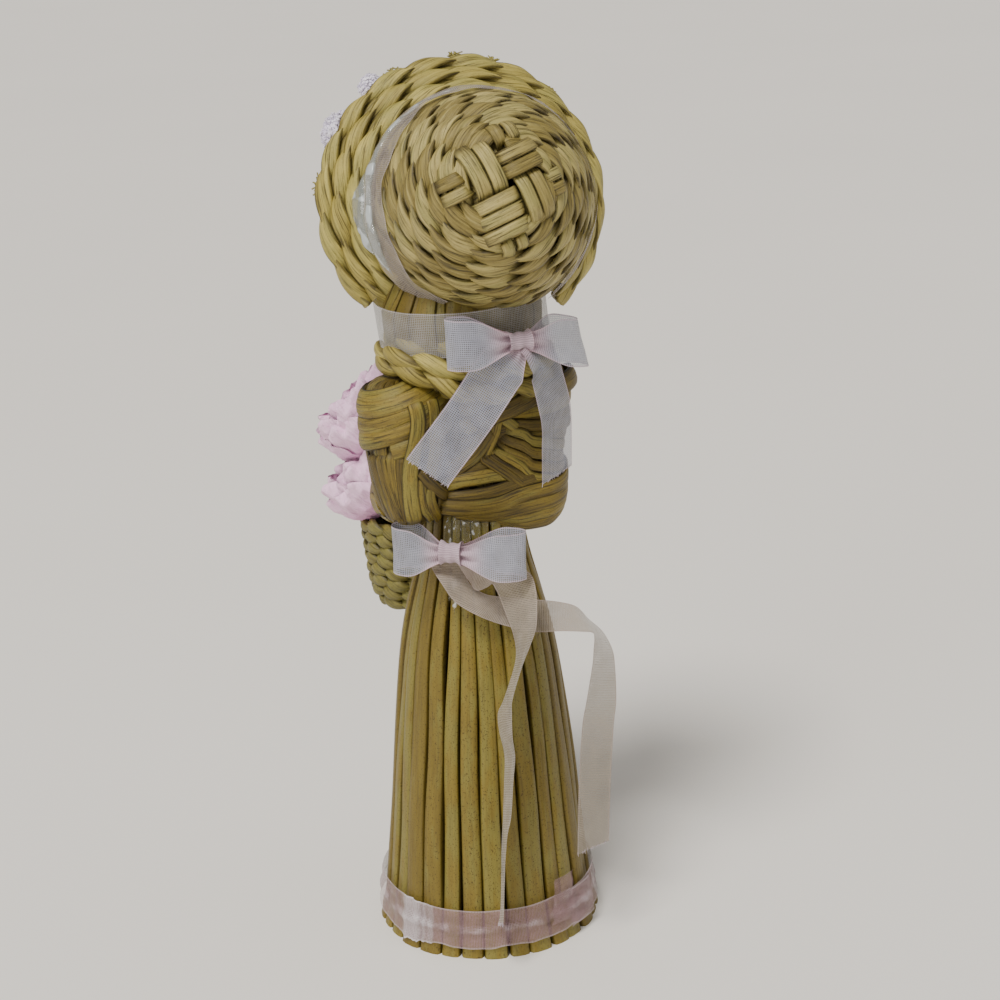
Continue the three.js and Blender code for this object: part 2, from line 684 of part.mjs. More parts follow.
function bowKnot() {
  const ring = rectangle(new THREE.Shape(), knotHalf, knotDepth, KNOT_WALL);
  ring.holes.push(rectangle(new THREE.Path(), bowPinched + CLEAR, BOW_HALF_THICKNESS + CLEAR, CLEAR / 2));
  const band = new THREE.ExtrudeGeometry(ring, { depth: KNOT_LENGTH, bevelEnabled: false, curveSegments: 2 });
  return weld(band.translate(0, 0, -KNOT_LENGTH / 2)).rotateY(Math.PI / 2);
}

// Tail of ribbon that starts gathered and opens to its full width between two shares of its length.
function ribbonTail(path, steps, sideAt, gathered, opens) {
  const width = (t) => THREE.MathUtils.lerp(gathered, RIBBON_WIDTH, THREE.MathUtils.smoothstep(t, ...opens));
  return sweep(path, steps, (t) => ribbonSection(width(t)), sideAt);
}

// Neck bow, tied at the back of the collar
const neckBow = new THREE.Group();
neckBow.position.set(NECK_BOW_X, ropeHalfDepth * collarOuter + CLEAR + BOW_DEPTH / 2, NECK_BOW_Z);
doll.add(neckBow);
const tailTop = -knotHalf - CLEAR;
const tailRoot = [vec(0, 0, tailTop), vec(0, 0, tailTop - TAIL_DROP)];
const NECK_TAIL_LEFT = [vec(5, 0.6, -10), vec(11.5, -0.6, -17.5), vec(18, -3, -25)];
const NECK_TAIL_RIGHT = [vec(-3, 0.6, -10), vec(-6.5, 0, -18), vec(-9, -1.5, -26)];
const neckTails = [NECK_TAIL_LEFT, NECK_TAIL_RIGHT].map((points) =>
  ribbonTail(smooth([...tailRoot, ...points]), 9, () => vec(1, 0, 0), 2 * bowPinched, [0, 0.4]),
);
add("neck_bow", bowLoops(NECK_LOOPS), RIBBON, neckBow);
add("neck_bow_knot", bowKnot(), RIBBON, neckBow);
add("neck_bow_tails", join(...neckTails), RIBBON, neckBow);

// Waist bow, glued to the stems
const waistBowR = skirtOuter(WAIST_BOW_Z) + GLUE_THICKNESS + CLEAR + knotDepth;
const waistBow = new THREE.Group();
waistBow.position.set(
  waistBowR * Math.cos(WAIST_BOW_ANGLE),
  waistBowR * Math.sin(WAIST_BOW_ANGLE),
  WAIST_BOW_Z,
);
waistBow.rotation.z = WAIST_BOW_ANGLE - Math.PI / 2;
doll.add(waistBow);
add("waist_bow", bowLoops(WAIST_LOOPS), RIBBON, waistBow);
add("waist_bow_knot", bowKnot(), RIBBON, waistBow);

const glueDrop = weld(new THREE.SphereGeometry(1, 12, 8))
  .scale(GLUE_PATCH_WIDTH / 2, GLUE_THICKNESS, GLUE_PATCH_HEIGHT / 2)
  .translate(0, skirtOuter(WAIST_BOW_Z), WAIST_BOW_Z)
  .rotateZ(WAIST_BOW_ANGLE - Math.PI / 2);
add("waist_glue", cut(glueDrop, skirtSpace()), GLUE);

// Tail that hangs off the skirt: rows of angle round the skirt, height, distance off the stems, roll and twist.
// Its root is on one side of the knot's middle, so that two tails lie side by side.
function hangingTail(rows, steps, side) {
  const rad = THREE.MathUtils.degToRad;
  const rootAngle = WAIST_BOW_ANGLE + (side * (bowPinched + CLEAR)) / 2 / waistBowR;
  const root = [0, TAIL_DROP].map((drop) => [
    THREE.MathUtils.radToDeg(rootAngle),
    WAIST_BOW_Z + tailTop - drop,
    0,
    0,
    0,
  ]);
  const places = smooth([...root, ...rows].map(([angle, z, off]) => vec(rad(angle), off, z)));
  const turns = smooth([...root, ...rows].map(([, , , roll, twist]) => vec(rad(roll), rad(twist), 0)));
  const startR = waistBowR - skirtOuter(WAIST_BOW_Z + tailTop);
  const path = (t) => {
    const { x: angle, y: off, z } = places(t);
    const r = skirtOuter(z) + off + startR * (1 - THREE.MathUtils.smoothstep(t, 0, 0.3));
    return vec(r * Math.cos(angle), r * Math.sin(angle), z);
  };
  const sideAt = (t) => {
    const { x: angle } = places(t);
    const { x: roll, y: twist } = turns(t);
    const round = vec(-Math.sin(angle), Math.cos(angle), 0).multiplyScalar(Math.cos(roll) * Math.cos(twist));
    const out = vec(Math.cos(angle), Math.sin(angle), 0).multiplyScalar(Math.sin(twist));
    return round.add(out).add(vec(0, 0, Math.sin(roll)));
  };
  return ribbonTail(path, steps, sideAt, bowPinched, [1 / (rows.length + 1), 0.45]);
}

const TAIL_DOWN = [
  [74, 80.5, 3, 60, 0],
  [92, 80.5, 4.5, 65, 0],
  [106, 78, 6, 45, 10],
  [103, 72.5, 6.5, 10, 40],
  [94, 66, 6.2, 0, 70],
  [87, 57, 6, 0, 82],
  [85, 45, 6, 0, 78],
  [80, 32, 5.8, 0, 84],
  [76, 12, 5.6, 0, 90],
];
const TAIL_ROUND = [
  [50, 78, 1.6, 20, 0],
  [72, 73.5, 2, 55, 0],
  [98, 72, 2, 70, 0],
  [118, 72, 5, 75, 0],
  [131, 70, 10, 60, 0],
  [136, 61, 12.5, 15, 0],
  [132, 43, 11, 0, 0],
  [121, 24, 9, 0, 0],
];
add("waist_tail_down", hangingTail(TAIL_DOWN, 20, 1), RIBBON);
add("waist_tail_round", hangingTail(TAIL_ROUND, 24, -1), RIBBON);

// Hem ribbon round the foot of the stems
function hemRibbon() {
  const heights = [0, 0.5, 1].map((t) => HEM_RIBBON_Z + t * HEM_RIBBON_WIDTH);
  const inside = heights.map((z) => [skirtOuter(z) + CLEAR, z]);
  const outside = inside.map(([r, z]) => [r + RIBBON_THICKNESS, z]).reverse();
  return revolve([...inside, ...outside, inside[0]], 36);
}

add("hem_ribbon", hemRibbon(), RIBBON);

// Flowers of crepe paper that stand in the basket: a ruffled cup round a hollow heart, as shares of its radius
const CUP_OUTSIDE = [[0.22, -0.8], [0.72, -0.5], [1, 0], [0.95, 0.55]];
const CUP_INSIDE = [[0.62, 0.4], [0.25, -0.1]];
const RUFFLE = 0.14;

function flower(centre, radius, cup) {
  const facing = vec(centre.x - BASKET_X, centre.y - basketY, radius).normalize();
  const turn = new THREE.Quaternion().setFromUnitVectors(vec(0, 0, 1), facing);
  const rings = cup.map(([out, along], row) =>
    Array.from({ length: 3 * PETAL_COUNT }, (_, i) => {
      const a = (2 * Math.PI * i) / (3 * PETAL_COUNT);
      const wave = RUFFLE * Math.cos(PETAL_COUNT * a + row);
      const r = radius * out * (1 + wave);
      return vec(r * Math.cos(a), r * Math.sin(a), radius * (along + out * wave));
    }),
  );
  return loft(rings).applyQuaternion(turn).translate(...centre.toArray());
}

function flowerStem(centre, foot, grow) {
  const bottom = vec(BASKET_X + foot[0], basketY + foot[1], BASKET_BOTTOM_Z + BASKET_WALL + CLEAR);
  const path = (t) => bottom.clone().lerp(centre, t);
  const width = 2 * (FLOWER_STEM_R + grow);
  return sweep(path, 1, () => ellipse(width, width, 6), () => vec(1, 0, 0));
}

// Places of head and foot are off the basket's middle, the head's height is over the floor
const FLOWERS = {
  flower_upper: { place: [8.5, -5.5, 106], foot: [0, 2], radius: 10 },
  flower_lower_left: { place: [8, -4.8, 92], foot: [3.5, -2.5], radius: 9.3 },
  flower_lower_right: { place: [-8, -4.8, 95], foot: [-3.5, -2.5], radius: 9.3 },
};
const basketRoom = revolve([[0, BASKET_BOTTOM_Z], ...basketSide(CLEAR), [0, basketTop + CLEAR]], 24).translate(
  BASKET_X,
  basketY,
  0,
);
const placed = [];
for (const [name, { place, foot, radius }] of Object.entries(FLOWERS)) {
  const centre = vec(BASKET_X + place[0], basketY + place[1], place[2]);
  const head = cut(flower(centre, radius, [...CUP_OUTSIDE, ...CUP_INSIDE]), basketRoom, ...placed);
  add(name, join(head, flowerStem(centre, foot, 0)), PAPER);
  placed.push(flower(centre, radius + 2 * CLEAR, CUP_OUTSIDE), flowerStem(centre, foot, CLEAR));
}

// The part's origin is on the floor, in the middle of the doll's outline
const part = new THREE.Group();
part.add(doll);
const box = new THREE.Box3().setFromObject(doll, true);
const middle = box.getCenter(vec(0, 0, 0));
doll.position.set(-middle.x, -middle.y, 0);

export default part;
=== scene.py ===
"""Looks of a straw doll in a bonnet: rush stems, twined straw, wound arms, sheer ribbon and paper flowers.

Shapes are worked out in millimetres in the doll's own frame, where the skirt's axis is x = y = 0. The doll
faces -Y, its left side is +X and +Z is up. `row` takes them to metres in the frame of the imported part.
"""
import math

import bpy
import numpy as np
from mathutils import Matrix, Vector


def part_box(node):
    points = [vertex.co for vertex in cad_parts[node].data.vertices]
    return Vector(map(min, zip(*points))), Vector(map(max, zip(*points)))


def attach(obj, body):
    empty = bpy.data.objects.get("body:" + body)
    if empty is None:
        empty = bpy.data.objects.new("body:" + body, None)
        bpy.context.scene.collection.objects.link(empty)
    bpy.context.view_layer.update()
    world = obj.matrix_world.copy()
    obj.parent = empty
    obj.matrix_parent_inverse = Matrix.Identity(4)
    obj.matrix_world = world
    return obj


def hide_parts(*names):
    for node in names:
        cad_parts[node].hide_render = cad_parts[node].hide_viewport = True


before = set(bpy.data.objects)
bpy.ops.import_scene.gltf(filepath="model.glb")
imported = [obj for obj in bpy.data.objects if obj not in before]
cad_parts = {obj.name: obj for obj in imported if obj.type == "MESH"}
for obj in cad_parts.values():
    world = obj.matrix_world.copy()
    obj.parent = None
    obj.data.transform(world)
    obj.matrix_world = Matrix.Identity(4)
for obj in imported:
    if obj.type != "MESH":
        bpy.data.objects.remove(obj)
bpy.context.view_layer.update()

MM = 0.001
HEM_LOW, HEM_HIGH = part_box("hem_ribbon")
SKIRT_AXIS = np.array([(HEM_LOW.x + HEM_HIGH.x) / 2, (HEM_LOW.y + HEM_HIGH.y) / 2, 0])

# Sizes shared with the solids, in millimetres and degrees
SKIRT_TOP = 97
SKIRT_LINE = [(22.1, 0), (20.4, 10), (15.6, 60), (10.4, 84), (8.75, SKIRT_TOP)]
STEM_COUNT = 28
HAT_PLACE = np.array([-4.2, 0, 155.2])
HAT_TILT = math.radians(16)
HAT_YAW = math.radians(4)
CROWN_R, CROWN_H = 21.2, 28
PLAIT_R = 8.4
PLAIT_TURN = math.radians(20)
BRIM_REACH = 128
BRIM_FLARE_TOP, BRIM_FLARE_END = 50, 36
BRIM_PITCH = 3.65
BRIM_START_R, BRIM_START_Z = 20.0, -2.7
ROPE_HALF_WIDTH, ROPE_HALF_DEPTH = 16.75, 13.35
ROPE_Z = (120.4, 124.9)
ARM_X, ARM_LEAN, ARM_Y, ARM_TOP_Z = 13.2, 0.9, 1.5, 117.2
ELBOW_Z, RIGHT_ELBOW_DROP = 98, 2.6
BASKET_X, BASKET_Y, BASKET_Z = 4, -26.4, 64
BASKET_HEIGHT, BASKET_BOTTOM_R, BASKET_TOP_R = 22, 9, 12
RIBBON_WIDTH = 10

# Sizes of the looks alone
# Angle and height of the two gaps between stems
STEM_GAPS = ((47.6, 67), (104.3, 55))
STEM_HALF_DEPTHS = (1.6, 0.9)
# The stems' outside as a share of the skirt line's radius
SKIRT_SWELL = 1.08
INNER_STEM_Z, WAIST_BUNDLE_Z = (1.6, 86), (76, 96.5)
BACK_STRIP_Z, CHEST_Z = (97.4, 117.2), (94, 118.5)
YOKE_STRIPS, YOKE_Z = 11, 121.5
CROWN_LOW, CROWN_TOP = math.radians(-1), math.acos(PLAIT_R / CROWN_R)
CROWN_LEAN = np.array([-1.4, 1.4, 0])
CROWN_ROWS, CROWN_STAKES = 10, 26
BRIM_FIRST_ROW = 1.8
# Degrees that each row of the brim runs past the solid on its left and right, and where straw ends stick out
BRIM_RUNS = ((15, 3), (10, 7), (4, 11), (0, 11))
BRIM_LOOSE_ENDS = (-76, -22, 3, 17, 44)
ROPE_PLIES, NECK_ROPE_Z = 2, 129
ARM_SKIN_R, ARM_DOME = 7.9, 4.2
ARM_MM_PER_DEGREE = 0.15
BASKET_ROWS, BASKET_FLOOR_ROWS = 8, 3
HEAD_R, HEAD_STRIPS = 17.7, 22
NECK_R, NECK_STRIPS, NECK_Z = 7.4, 14, (127.8, 142)
NECK_STRAWS, NECK_STRAW_Z, NECK_STRAW_RISE = 44, 122.5, 23.5
COLLAR_FOOT, COLLAR_HEIGHT = 128.4, 9.2
HEM_BOTTOM, HEM_WIDTH = 2.8, 8.2
HEM_JOIN = math.radians(118)
# Middle and half width of the hem's white fold, in degrees of the ribbon's turn past +X
HEM_FOLD, HEM_FOLD_HALF = 387, 7.5
BAND_REACH = 150
WAIST_ANGLE, WAIST_R, WAIST_Z = math.radians(53.5), 15.6, 88
RIBBON_COLUMNS = 15

# The photograph's camera: its lens, its turn about the doll, and the mark and the size of the skirt's foot
PICTURE_PX, FOCAL_PX = 1000, 2200
CAMERA_TURN, CAMERA_PITCH, CAMERA_ROLL = math.radians(160), math.radians(19), math.radians(2.2)
FOOT_MARK = (489.6, 903)
FOOT_PX, FOOT_WIDTH = 218, 48


# Curves and frames


def row(points):
    """Points in the doll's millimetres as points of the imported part, in metres."""
    return np.asarray(points, float) * MM + SKIRT_AXIS


def xyz(x, y, z):
    """Points from their three parts, each a number or an array."""
    return np.stack(np.broadcast_arrays(x, y, z), axis=-1)


def unit(vectors):
    vectors = np.asarray(vectors, float)
    return vectors / np.maximum(np.linalg.norm(vectors, axis=-1, keepdims=True), 1e-9)


def lengths(path):
    """Distance along a path at each of its points."""
    return np.concatenate([[0], np.cumsum(np.linalg.norm(np.diff(path, axis=0), axis=1))])


def spline(points, count):
    """Smooth curve through points, sampled evenly along its length."""
    p = np.asarray(points, float)
    p = np.vstack([2 * p[0] - p[1], p, 2 * p[-1] - p[-2]])
    fine = []
    for a, b, c, d in zip(p, p[1:], p[2:], p[3:]):
        t = np.linspace(0, 1, 24, endpoint=False)[:, None]
        square = 2 * a - 5 * b + 4 * c - d
        cube = 3 * b - a - 3 * c + d
        fine.append(0.5 * (2 * b + (c - a) * t + square * t**2 + cube * t**3))
    fine = np.vstack([*fine, p[-2]])
    reach = lengths(fine)
    wanted = np.linspace(0, reach[-1], count)
    return np.column_stack([np.interp(wanted, reach, column) for column in fine.T])


def square_to(ahead, way):
    """Directions square to a path, as near to a way as they can be."""
    way = np.broadcast_to(np.asarray(way, float), ahead.shape)
    return unit(way - ahead * np.sum(way * ahead, axis=1, keepdims=True))


def smoothstep(x, low, high):
    t = np.clip((np.asarray(x, float) - low) / (high - low), 0, 1)
    return t * t * (3 - 2 * t)


def waves(seed, scale, x):
    """Smooth made-up wander of x: a few sine waves with fixed random phases, from about -1 to 1."""
    rng = np.random.default_rng(seed)
    total = 0
    for octave in (1.0, 2.3, 4.1):
        total = total + np.sin(np.asarray(x, float) * octave / scale + rng.uniform(0, math.tau)) / octave
    return total / 1.6


SKIRT_CURVE = spline([(r, 0, z) for r, z in SKIRT_LINE], 200)


def skirt_radius(z):
    return np.interp(z, SKIRT_CURVE[:, 2], SKIRT_CURVE[:, 0])


def skirt_outer(z):
    """Radius of the stems' outside at a height."""
    return skirt_radius(z) + np.interp(z, [0, SKIRT_TOP], STEM_HALF_DEPTHS)


TILT_COS, TILT_SIN = math.cos(HAT_TILT), math.sin(HAT_TILT)
YAW_COS, YAW_SIN = math.cos(HAT_YAW), math.sin(HAT_YAW)
HAT_AXES = np.array(
    [
        [-YAW_COS, YAW_SIN, 0],
        [-TILT_SIN * YAW_SIN, -TILT_SIN * YAW_COS, TILT_COS],
        [TILT_COS * YAW_SIN, TILT_COS * YAW_COS, TILT_SIN],
    ]
)


def hat(points):
    """Points of the bonnet's frame (x to the doll's right, y up, z to the back) in the doll's frame."""
    return HAT_PLACE + np.asarray(points, float) @ HAT_AXES


def hat_way(vectors):
    """Directions of the bonnet's frame in the doll's frame."""
    return np.asarray(vectors, float) @ HAT_AXES


CAMERA_LEVEL = np.array([math.cos(CAMERA_TURN), math.sin(CAMERA_TURN), 0])
CAMERA_AWAY = np.array([-math.sin(CAMERA_TURN), math.cos(CAMERA_TURN), 0])
CAMERA_AHEAD = CAMERA_AWAY * math.cos(CAMERA_PITCH) - [0, 0, math.sin(CAMERA_PITCH)]
CAMERA_OVER = np.cross(CAMERA_LEVEL, CAMERA_AHEAD)
PICTURE_RIGHT = CAMERA_LEVEL * math.cos(CAMERA_ROLL) - CAMERA_OVER * math.sin(CAMERA_ROLL)
PICTURE_UP = np.cross(PICTURE_RIGHT, CAMERA_AHEAD)


def sight(mark):
    """Line of sight of a mark in the photograph, one unit deep."""
    u, v = (np.array(mark) - PICTURE_PX / 2) / FOCAL_PX
    return PICTURE_RIGHT * u - PICTURE_UP * v + CAMERA_AHEAD


CAMERA_PLACE = -sight(FOOT_MARK) * FOCAL_PX * FOOT_WIDTH / FOOT_PX


def seen(mark, away):
    """Points on a mark's line of sight, by level distance behind the skirt's axis."""
    way = sight(mark)
    deep = (np.asarray(away) - CAMERA_PLACE @ CAMERA_AWAY) / (way @ CAMERA_AWAY)
    return CAMERA_PLACE + deep[..., None] * way


# Shader maths


class Shade:
    """A shader socket that takes part in sums and products."""

    def __init__(self, tree, socket):
        self.tree = tree
        self.socket = socket

    def plug(self, made, sockets):
        """Sets or links inputs of a node, by name or, after an underscore, by number."""
        for name, value in sockets.items():
            target = made.inputs[int(name[1:]) if name[0] == "_" else name.replace("__", " ")]
            if isinstance(value, Shade):
                self.tree.links.new(value.socket, target)
            else:
                target.default_value = value

    def node(self, kind, settings=None, output=0, **sockets):
        """A new node of a type, with its settings made first and then its sockets set or linked."""
        made = self.tree.nodes.new("ShaderNode" + kind)
        for name, value in (settings or {}).items():
            setattr(made, name, value)
        self.plug(made, sockets)
        return Shade(self.tree, made.outputs[output])

    def split(self):
        """The three parts of a vector."""
        parts = self.node("SeparateXYZ", _0=self).socket.node.outputs
        return [Shade(self.tree, part) for part in parts]

    def maths(self, operation, *values):
        return self.node("Math", {"operation": operation}, **{"_%d" % i: v for i, v in enumerate(values)})

    def __add__(self, other):
        return self.maths("ADD", self, other)

    def __sub__(self, other):
        return self.maths("SUBTRACT", self, other)

    def __rsub__(self, other):
        return self.maths("SUBTRACT", other, self)

    def __mul__(self, other):
        return self.maths("MULTIPLY", self, other)

    def step(self, low, high):
        """0 below low, 1 above high, smooth between."""
        return self.node(
            "MapRange", {"interpolation_type": "SMOOTHSTEP"}, Value=self, From__Min=low, From__Max=high
        )

    def between(self, first, second):
        """Colour between two colours by this value."""
        return self.node("Mix", {"data_type": "RGBA"}, 2, _0=self, _6=first, _7=second)


def tint(code):
    """Linear colour of a hexadecimal screen colour."""
    parts = [int(code[i : i + 2], 16) / 255 for i in (0, 2, 4)]
    return (*[((c + 0.055) / 1.055) ** 2.4 if c > 0.04 else c / 12.92 for c in parts], 1)


def new_material(name):
    """A material, its shader node and a first socket to start expressions from."""
    material = bpy.data.materials.new(name)
    material.use_nodes = True
    tree = material.node_tree
    shader = tree.nodes["Principled BSDF"]
    return material, shader, Shade(tree, shader.outputs[0])


def feed(start, shader, **sockets):
    start.plug(shader, sockets)


def straw(name, pale, middle, dark, speck, green="7d7a3c", fibre=0.6, speckle=0.35, fine=2.6, rim=0.7):
    """Dried rush or straw along a strand: long fibres, specks and green patches, with painted shade on its
    sides and on tucked parts.
    """
    material, shader, start = new_material(name)
    share, deep, tone = start.node("Attribute", {"attribute_name": "grain"}, 1).split()
    girth = start.node("Attribute", {"attribute_name": "girth"}, 2)
    shade = start.node("Attribute", {"attribute_name": "shade"}, 2)
    across = share * girth * (0.5 / MM)
    along = deep * (1 / MM)

    def noise(wide, long, apart, detail, roughness=0.5):
        place = start.node("CombineXYZ", X=across * wide, Y=along * long, Z=tone * apart)
        return start.node("TexNoise", Vector=place, Scale=1.0, Detail=detail, Roughness=roughness)

    threads = noise(3.0, 0.11, 61, 5.0, 0.7)
    streaks = noise(1.2, 0.05, 17, 2.0)
    patches = noise(0.5, 0.13, 23, 2.0)
    specks = noise(fine, fine * 0.75, 37, 2.0).step(0.58, 0.68)
    edge = (share * share).step(0.55, 1.0)
    mottle = streaks + tone * 0.6 + patches * 0.35 - 0.5
    body = mottle.step(0.1, 0.8).between(tint(middle), tint(pale))
    body = ((patches + tone * 0.3).step(0.6, 0.88) * 0.5).between(body, tint(green))
    bright = (threads.step(0.5, 0.75) * 0.5).between(body, tint(pale))
    lined = ((1 - threads).step(0.48, 0.66) * fibre).between(bright, tint(dark))
    marked = (specks * speckle).between(lined, tint(speck))
    # Painted shade: darker towards each strand's sides by rim, as on a rounded stem.
    painted_light = (edge * rim).between(marked, tint(dark))
    # Painted shade: darker by the strand's painted shade value, where it lies tucked under or in shadow.
    colour = (shade * 0.9).between(painted_light, tint(dark))
    height = threads * fibre + streaks * 0.6 - edge * 0.5
    bump = start.node("Bump", Strength=0.9, Distance=0.0003, Height=height)
    feed(start, shader, Base__Color=colour, Roughness=threads * 0.3 + 0.35, Normal=bump)
    feed(start, shader, Specular__IOR__Level=0.42)
    return material


def organza(name, thread, shadow, pinched, cover, crease=0.0, period=0.4):
    """Sheer plain weave on a UV map in millimetres, clear between its threads and denser where gathered."""
    material, shader, start = new_material(name)
    place = start.node("UVMap", {"uv_map": "weave"})
    across, along, _ = place.split()
    gather = start.node("Attribute", {"attribute_name": "gather"}, 2)
    wander = start.node("TexNoise", Vector=place, Scale=0.45, Detail=3.0)
    turn = math.tau / period
    warp = start.maths("SINE", across * turn + wander * 4.0) * 0.5 + 0.5
    weft = start.maths("SINE", along * turn + wander * 4.0) * 0.5 + 0.5
    threads = start.maths("MAXIMUM", warp, weft).step(0.2, 0.95)
    cloudy = start.node("TexNoise", Vector=place, Scale=0.25, Detail=4.0)
    selvedge = start.maths("ABSOLUTE", across).step(4.55, 4.75)
    plain = (threads * 0.7 + cloudy * 0.5 - 0.15).between(tint(shadow), tint(thread))
    fold = 1 - start.maths("ABSOLUTE", across + wander * 2.4 - 1.2).step(0.2, 1.3)
    lines = selvedge + fold * cloudy.step(0.35, 0.65) * crease
    colour = (gather.step(0.1, 0.6) * 0.6 + lines * 0.3).between(plain, tint(pinched))
    solid = threads * 0.5 + cloudy * 0.3 + lines * 0.18 + gather * 0.4 + (cover - 0.4)
    bump = start.node("Bump", Strength=0.6, Distance=0.00014, Height=threads)
    feed(start, shader, Base__Color=colour, Alpha=solid, Roughness=cloudy * 0.2 + 0.35, Normal=bump)
    feed(start, shader, Sheen__Weight=0.3, Specular__IOR__Level=0.35)
    return material


def crepe_paper(name, outer, inner, shadow):
    """Crinkled paper: fine creases from the foot of a petal to its edge, deeper pink towards the foot."""
    material, shader, start = new_material(name)
    place = start.node("UVMap", {"uv_map": "weave"})
    across, along, _ = place.split()
    crease_place = start.node("CombineXYZ", X=across * 1.6, Y=along * 0.3)
    creases = start.node("TexNoise", Vector=crease_place, Scale=1.0, Detail=4.0, Roughness=0.6)
    grit = start.node("TexNoise", Vector=place, Scale=2.4, Detail=3.0)
    deep = (along * 0.08).step(0.25, 1.1)
    body = deep.between(tint(inner), tint(outer))
    colour = ((1 - creases).step(0.45, 0.75) * 0.4).between(body, tint(shadow))
    bump = start.node("Bump", Strength=0.8, Distance=0.0006, Height=creases + grit * 0.35)
    feed(start, shader, Base__Color=colour, Roughness=grit * 0.15 + 0.78, Normal=bump)
    feed(start, shader, Specular__IOR__Level=0.2, Sheen__Weight=0.25)
    return material


def hot_glue(name, body, cover, glint_from, bright, scale):
    """Set glue, see-through by its cover, with small bright, denser spots that are painted highlights."""
    material, shader, start = new_material(name)
    place = start.node("TexCoord", None, 3)
    cloud = start.node("TexNoise", Vector=place, Scale=float(scale), Detail=1.0)
    # Painted highlights: noise spots that turn the glue whiter and less clear.
    painted_glints = cloud.step(glint_from, glint_from + 0.1)
    feed(start, shader, Base__Color=painted_glints.between(tint(body), tint(bright)), Alpha=painted_glints * 0.35 + cover)
    feed(start, shader, Roughness=0.05, Coat__Weight=1.0, Coat__Roughness=0.03, Specular__IOR__Level=1.0)
    return material


# Strands: one node tree makes every straw, strip, stem and thread


def strand_tree():
    """Node tree that turns polylines into strands. Each vertex brings face, girth, tone and painted shade."""
    tree = bpy.data.node_groups.new("straw strands", "GeometryNodeTree")
    kinds = {"Geometry": "Geometry", "Thickness": "Float", "Square": "Float", "Facets": "Int"}
    for name, kind in {**kinds, "Material": "Material"}.items():
        tree.interface.new_socket(name, in_out="INPUT", socket_type="NodeSocket" + kind)
    tree.interface.new_socket("Geometry", in_out="OUTPUT", socket_type="NodeSocketGeometry")

    def node(kind, settings=None, **sockets):
        made = tree.nodes.new(kind)
        for name, value in (settings or {}).items():
            setattr(made, name, value)
        for name, value in sockets.items():
            target = made.inputs[name.replace("__", " ")]
            if isinstance(value, bpy.types.NodeSocket):
                tree.links.new(value, target)
            else:
                target.default_value = value
        return made

    def named(name, data_type):
        made = node("GeometryNodeInputNamedAttribute", {"data_type": data_type}, Name=name)
        return made.outputs["Attribute"]

    def captured(geometry, name, value):
        made = tree.nodes.new("GeometryNodeCaptureAttribute")
        made.capture_items.new("FLOAT", name)
        tree.links.new(geometry, made.inputs["Geometry"])
        tree.links.new(value, made.inputs[name])
        return made.outputs["Geometry"], made.outputs[name]

    given = tree.nodes.new("NodeGroupInput").outputs
    line = node("GeometryNodeMeshToCurve", Mesh=given["Geometry"]).outputs[0]
    facing = named("face", "FLOAT_VECTOR")
    faced = node("GeometryNodeSetCurveNormal", {"mode": "FREE"}, Curve=line, Normal=facing)
    reach = tree.nodes.new("GeometryNodeSplineParameter").outputs["Length"]
    path, along = captured(faced.outputs[0], "along", reach)
    circle = node("GeometryNodeCurvePrimitiveCircle", Resolution=given["Facets"], Radius=0.5).outputs["Curve"]
    place = tree.nodes.new("GeometryNodeInputPosition").outputs[0]
    split = node("ShaderNodeSeparateXYZ", Vector=place).outputs
    section, across = captured(circle, "across", split["Y"])
    deep = Shade(tree, split["X"]) * 2
    wide = Shade(tree, split["Y"]) * 2
    corner = deep.maths("POWER", deep * deep * deep * deep + wide * wide * wide * wide, -0.25)
    swell = (corner - 1) * Shade(tree, given["Square"]) + 1
    moved = swell.node("VectorMath", {"operation": "SCALE"}, Vector=Shade(tree, place), Scale=swell)
    section = node("GeometryNodeSetPosition", Geometry=section, Position=moved.socket).outputs[0]
    flatten = node("ShaderNodeCombineXYZ", X=given["Thickness"], Y=1.0, Z=1.0).outputs[0]
    section = node("GeometryNodeTransform", Geometry=section, Scale=flatten).outputs[0]
    tube = node(
        "GeometryNodeCurveToMesh",
        Curve=path,
        Profile__Curve=section,
        Scale=named("girth", "FLOAT"),
        Fill__Caps=True,
    ).outputs[0]
    share = (Shade(tree, across) * 2).socket
    grain = node("ShaderNodeCombineXYZ", X=share, Y=along, Z=named("tone", "FLOAT")).outputs[0]
    stored = node(
        "GeometryNodeStoreNamedAttribute",
        {"data_type": "FLOAT_VECTOR", "domain": "POINT"},
        Geometry=tube,
        Name="grain",
        Value=grain,
    ).outputs[0]
    smooth = node("GeometryNodeSetShadeSmooth", Geometry=stored).outputs[0]
    real = node("GeometryNodeRealizeInstances", Geometry=smooth).outputs[0]
    done = node("GeometryNodeSetMaterial", Geometry=real, Material=given["Material"]).outputs[0]
    tree.links.new(done, tree.nodes.new("NodeGroupOutput").inputs[0])
    return tree


STRANDS = strand_tree()


def socket_name(name):
    """Identifier of an input of the strands' tree."""
    inputs = (item for item in STRANDS.interface.items_tree if item.in_out == "INPUT")
    return next(item.identifier for item in inputs if item.name == name)


def placed(name, data):
    """A new object in the scene."""
    made = bpy.data.objects.new(name, data)
    bpy.context.scene.collection.objects.link(made)
    return made


def show(piece, slot, *nodes):
    """Puts a finished piece on the doll, in place of the solids that it stands for."""
    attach(piece, "root")
    if nodes:
        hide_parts(*nodes)


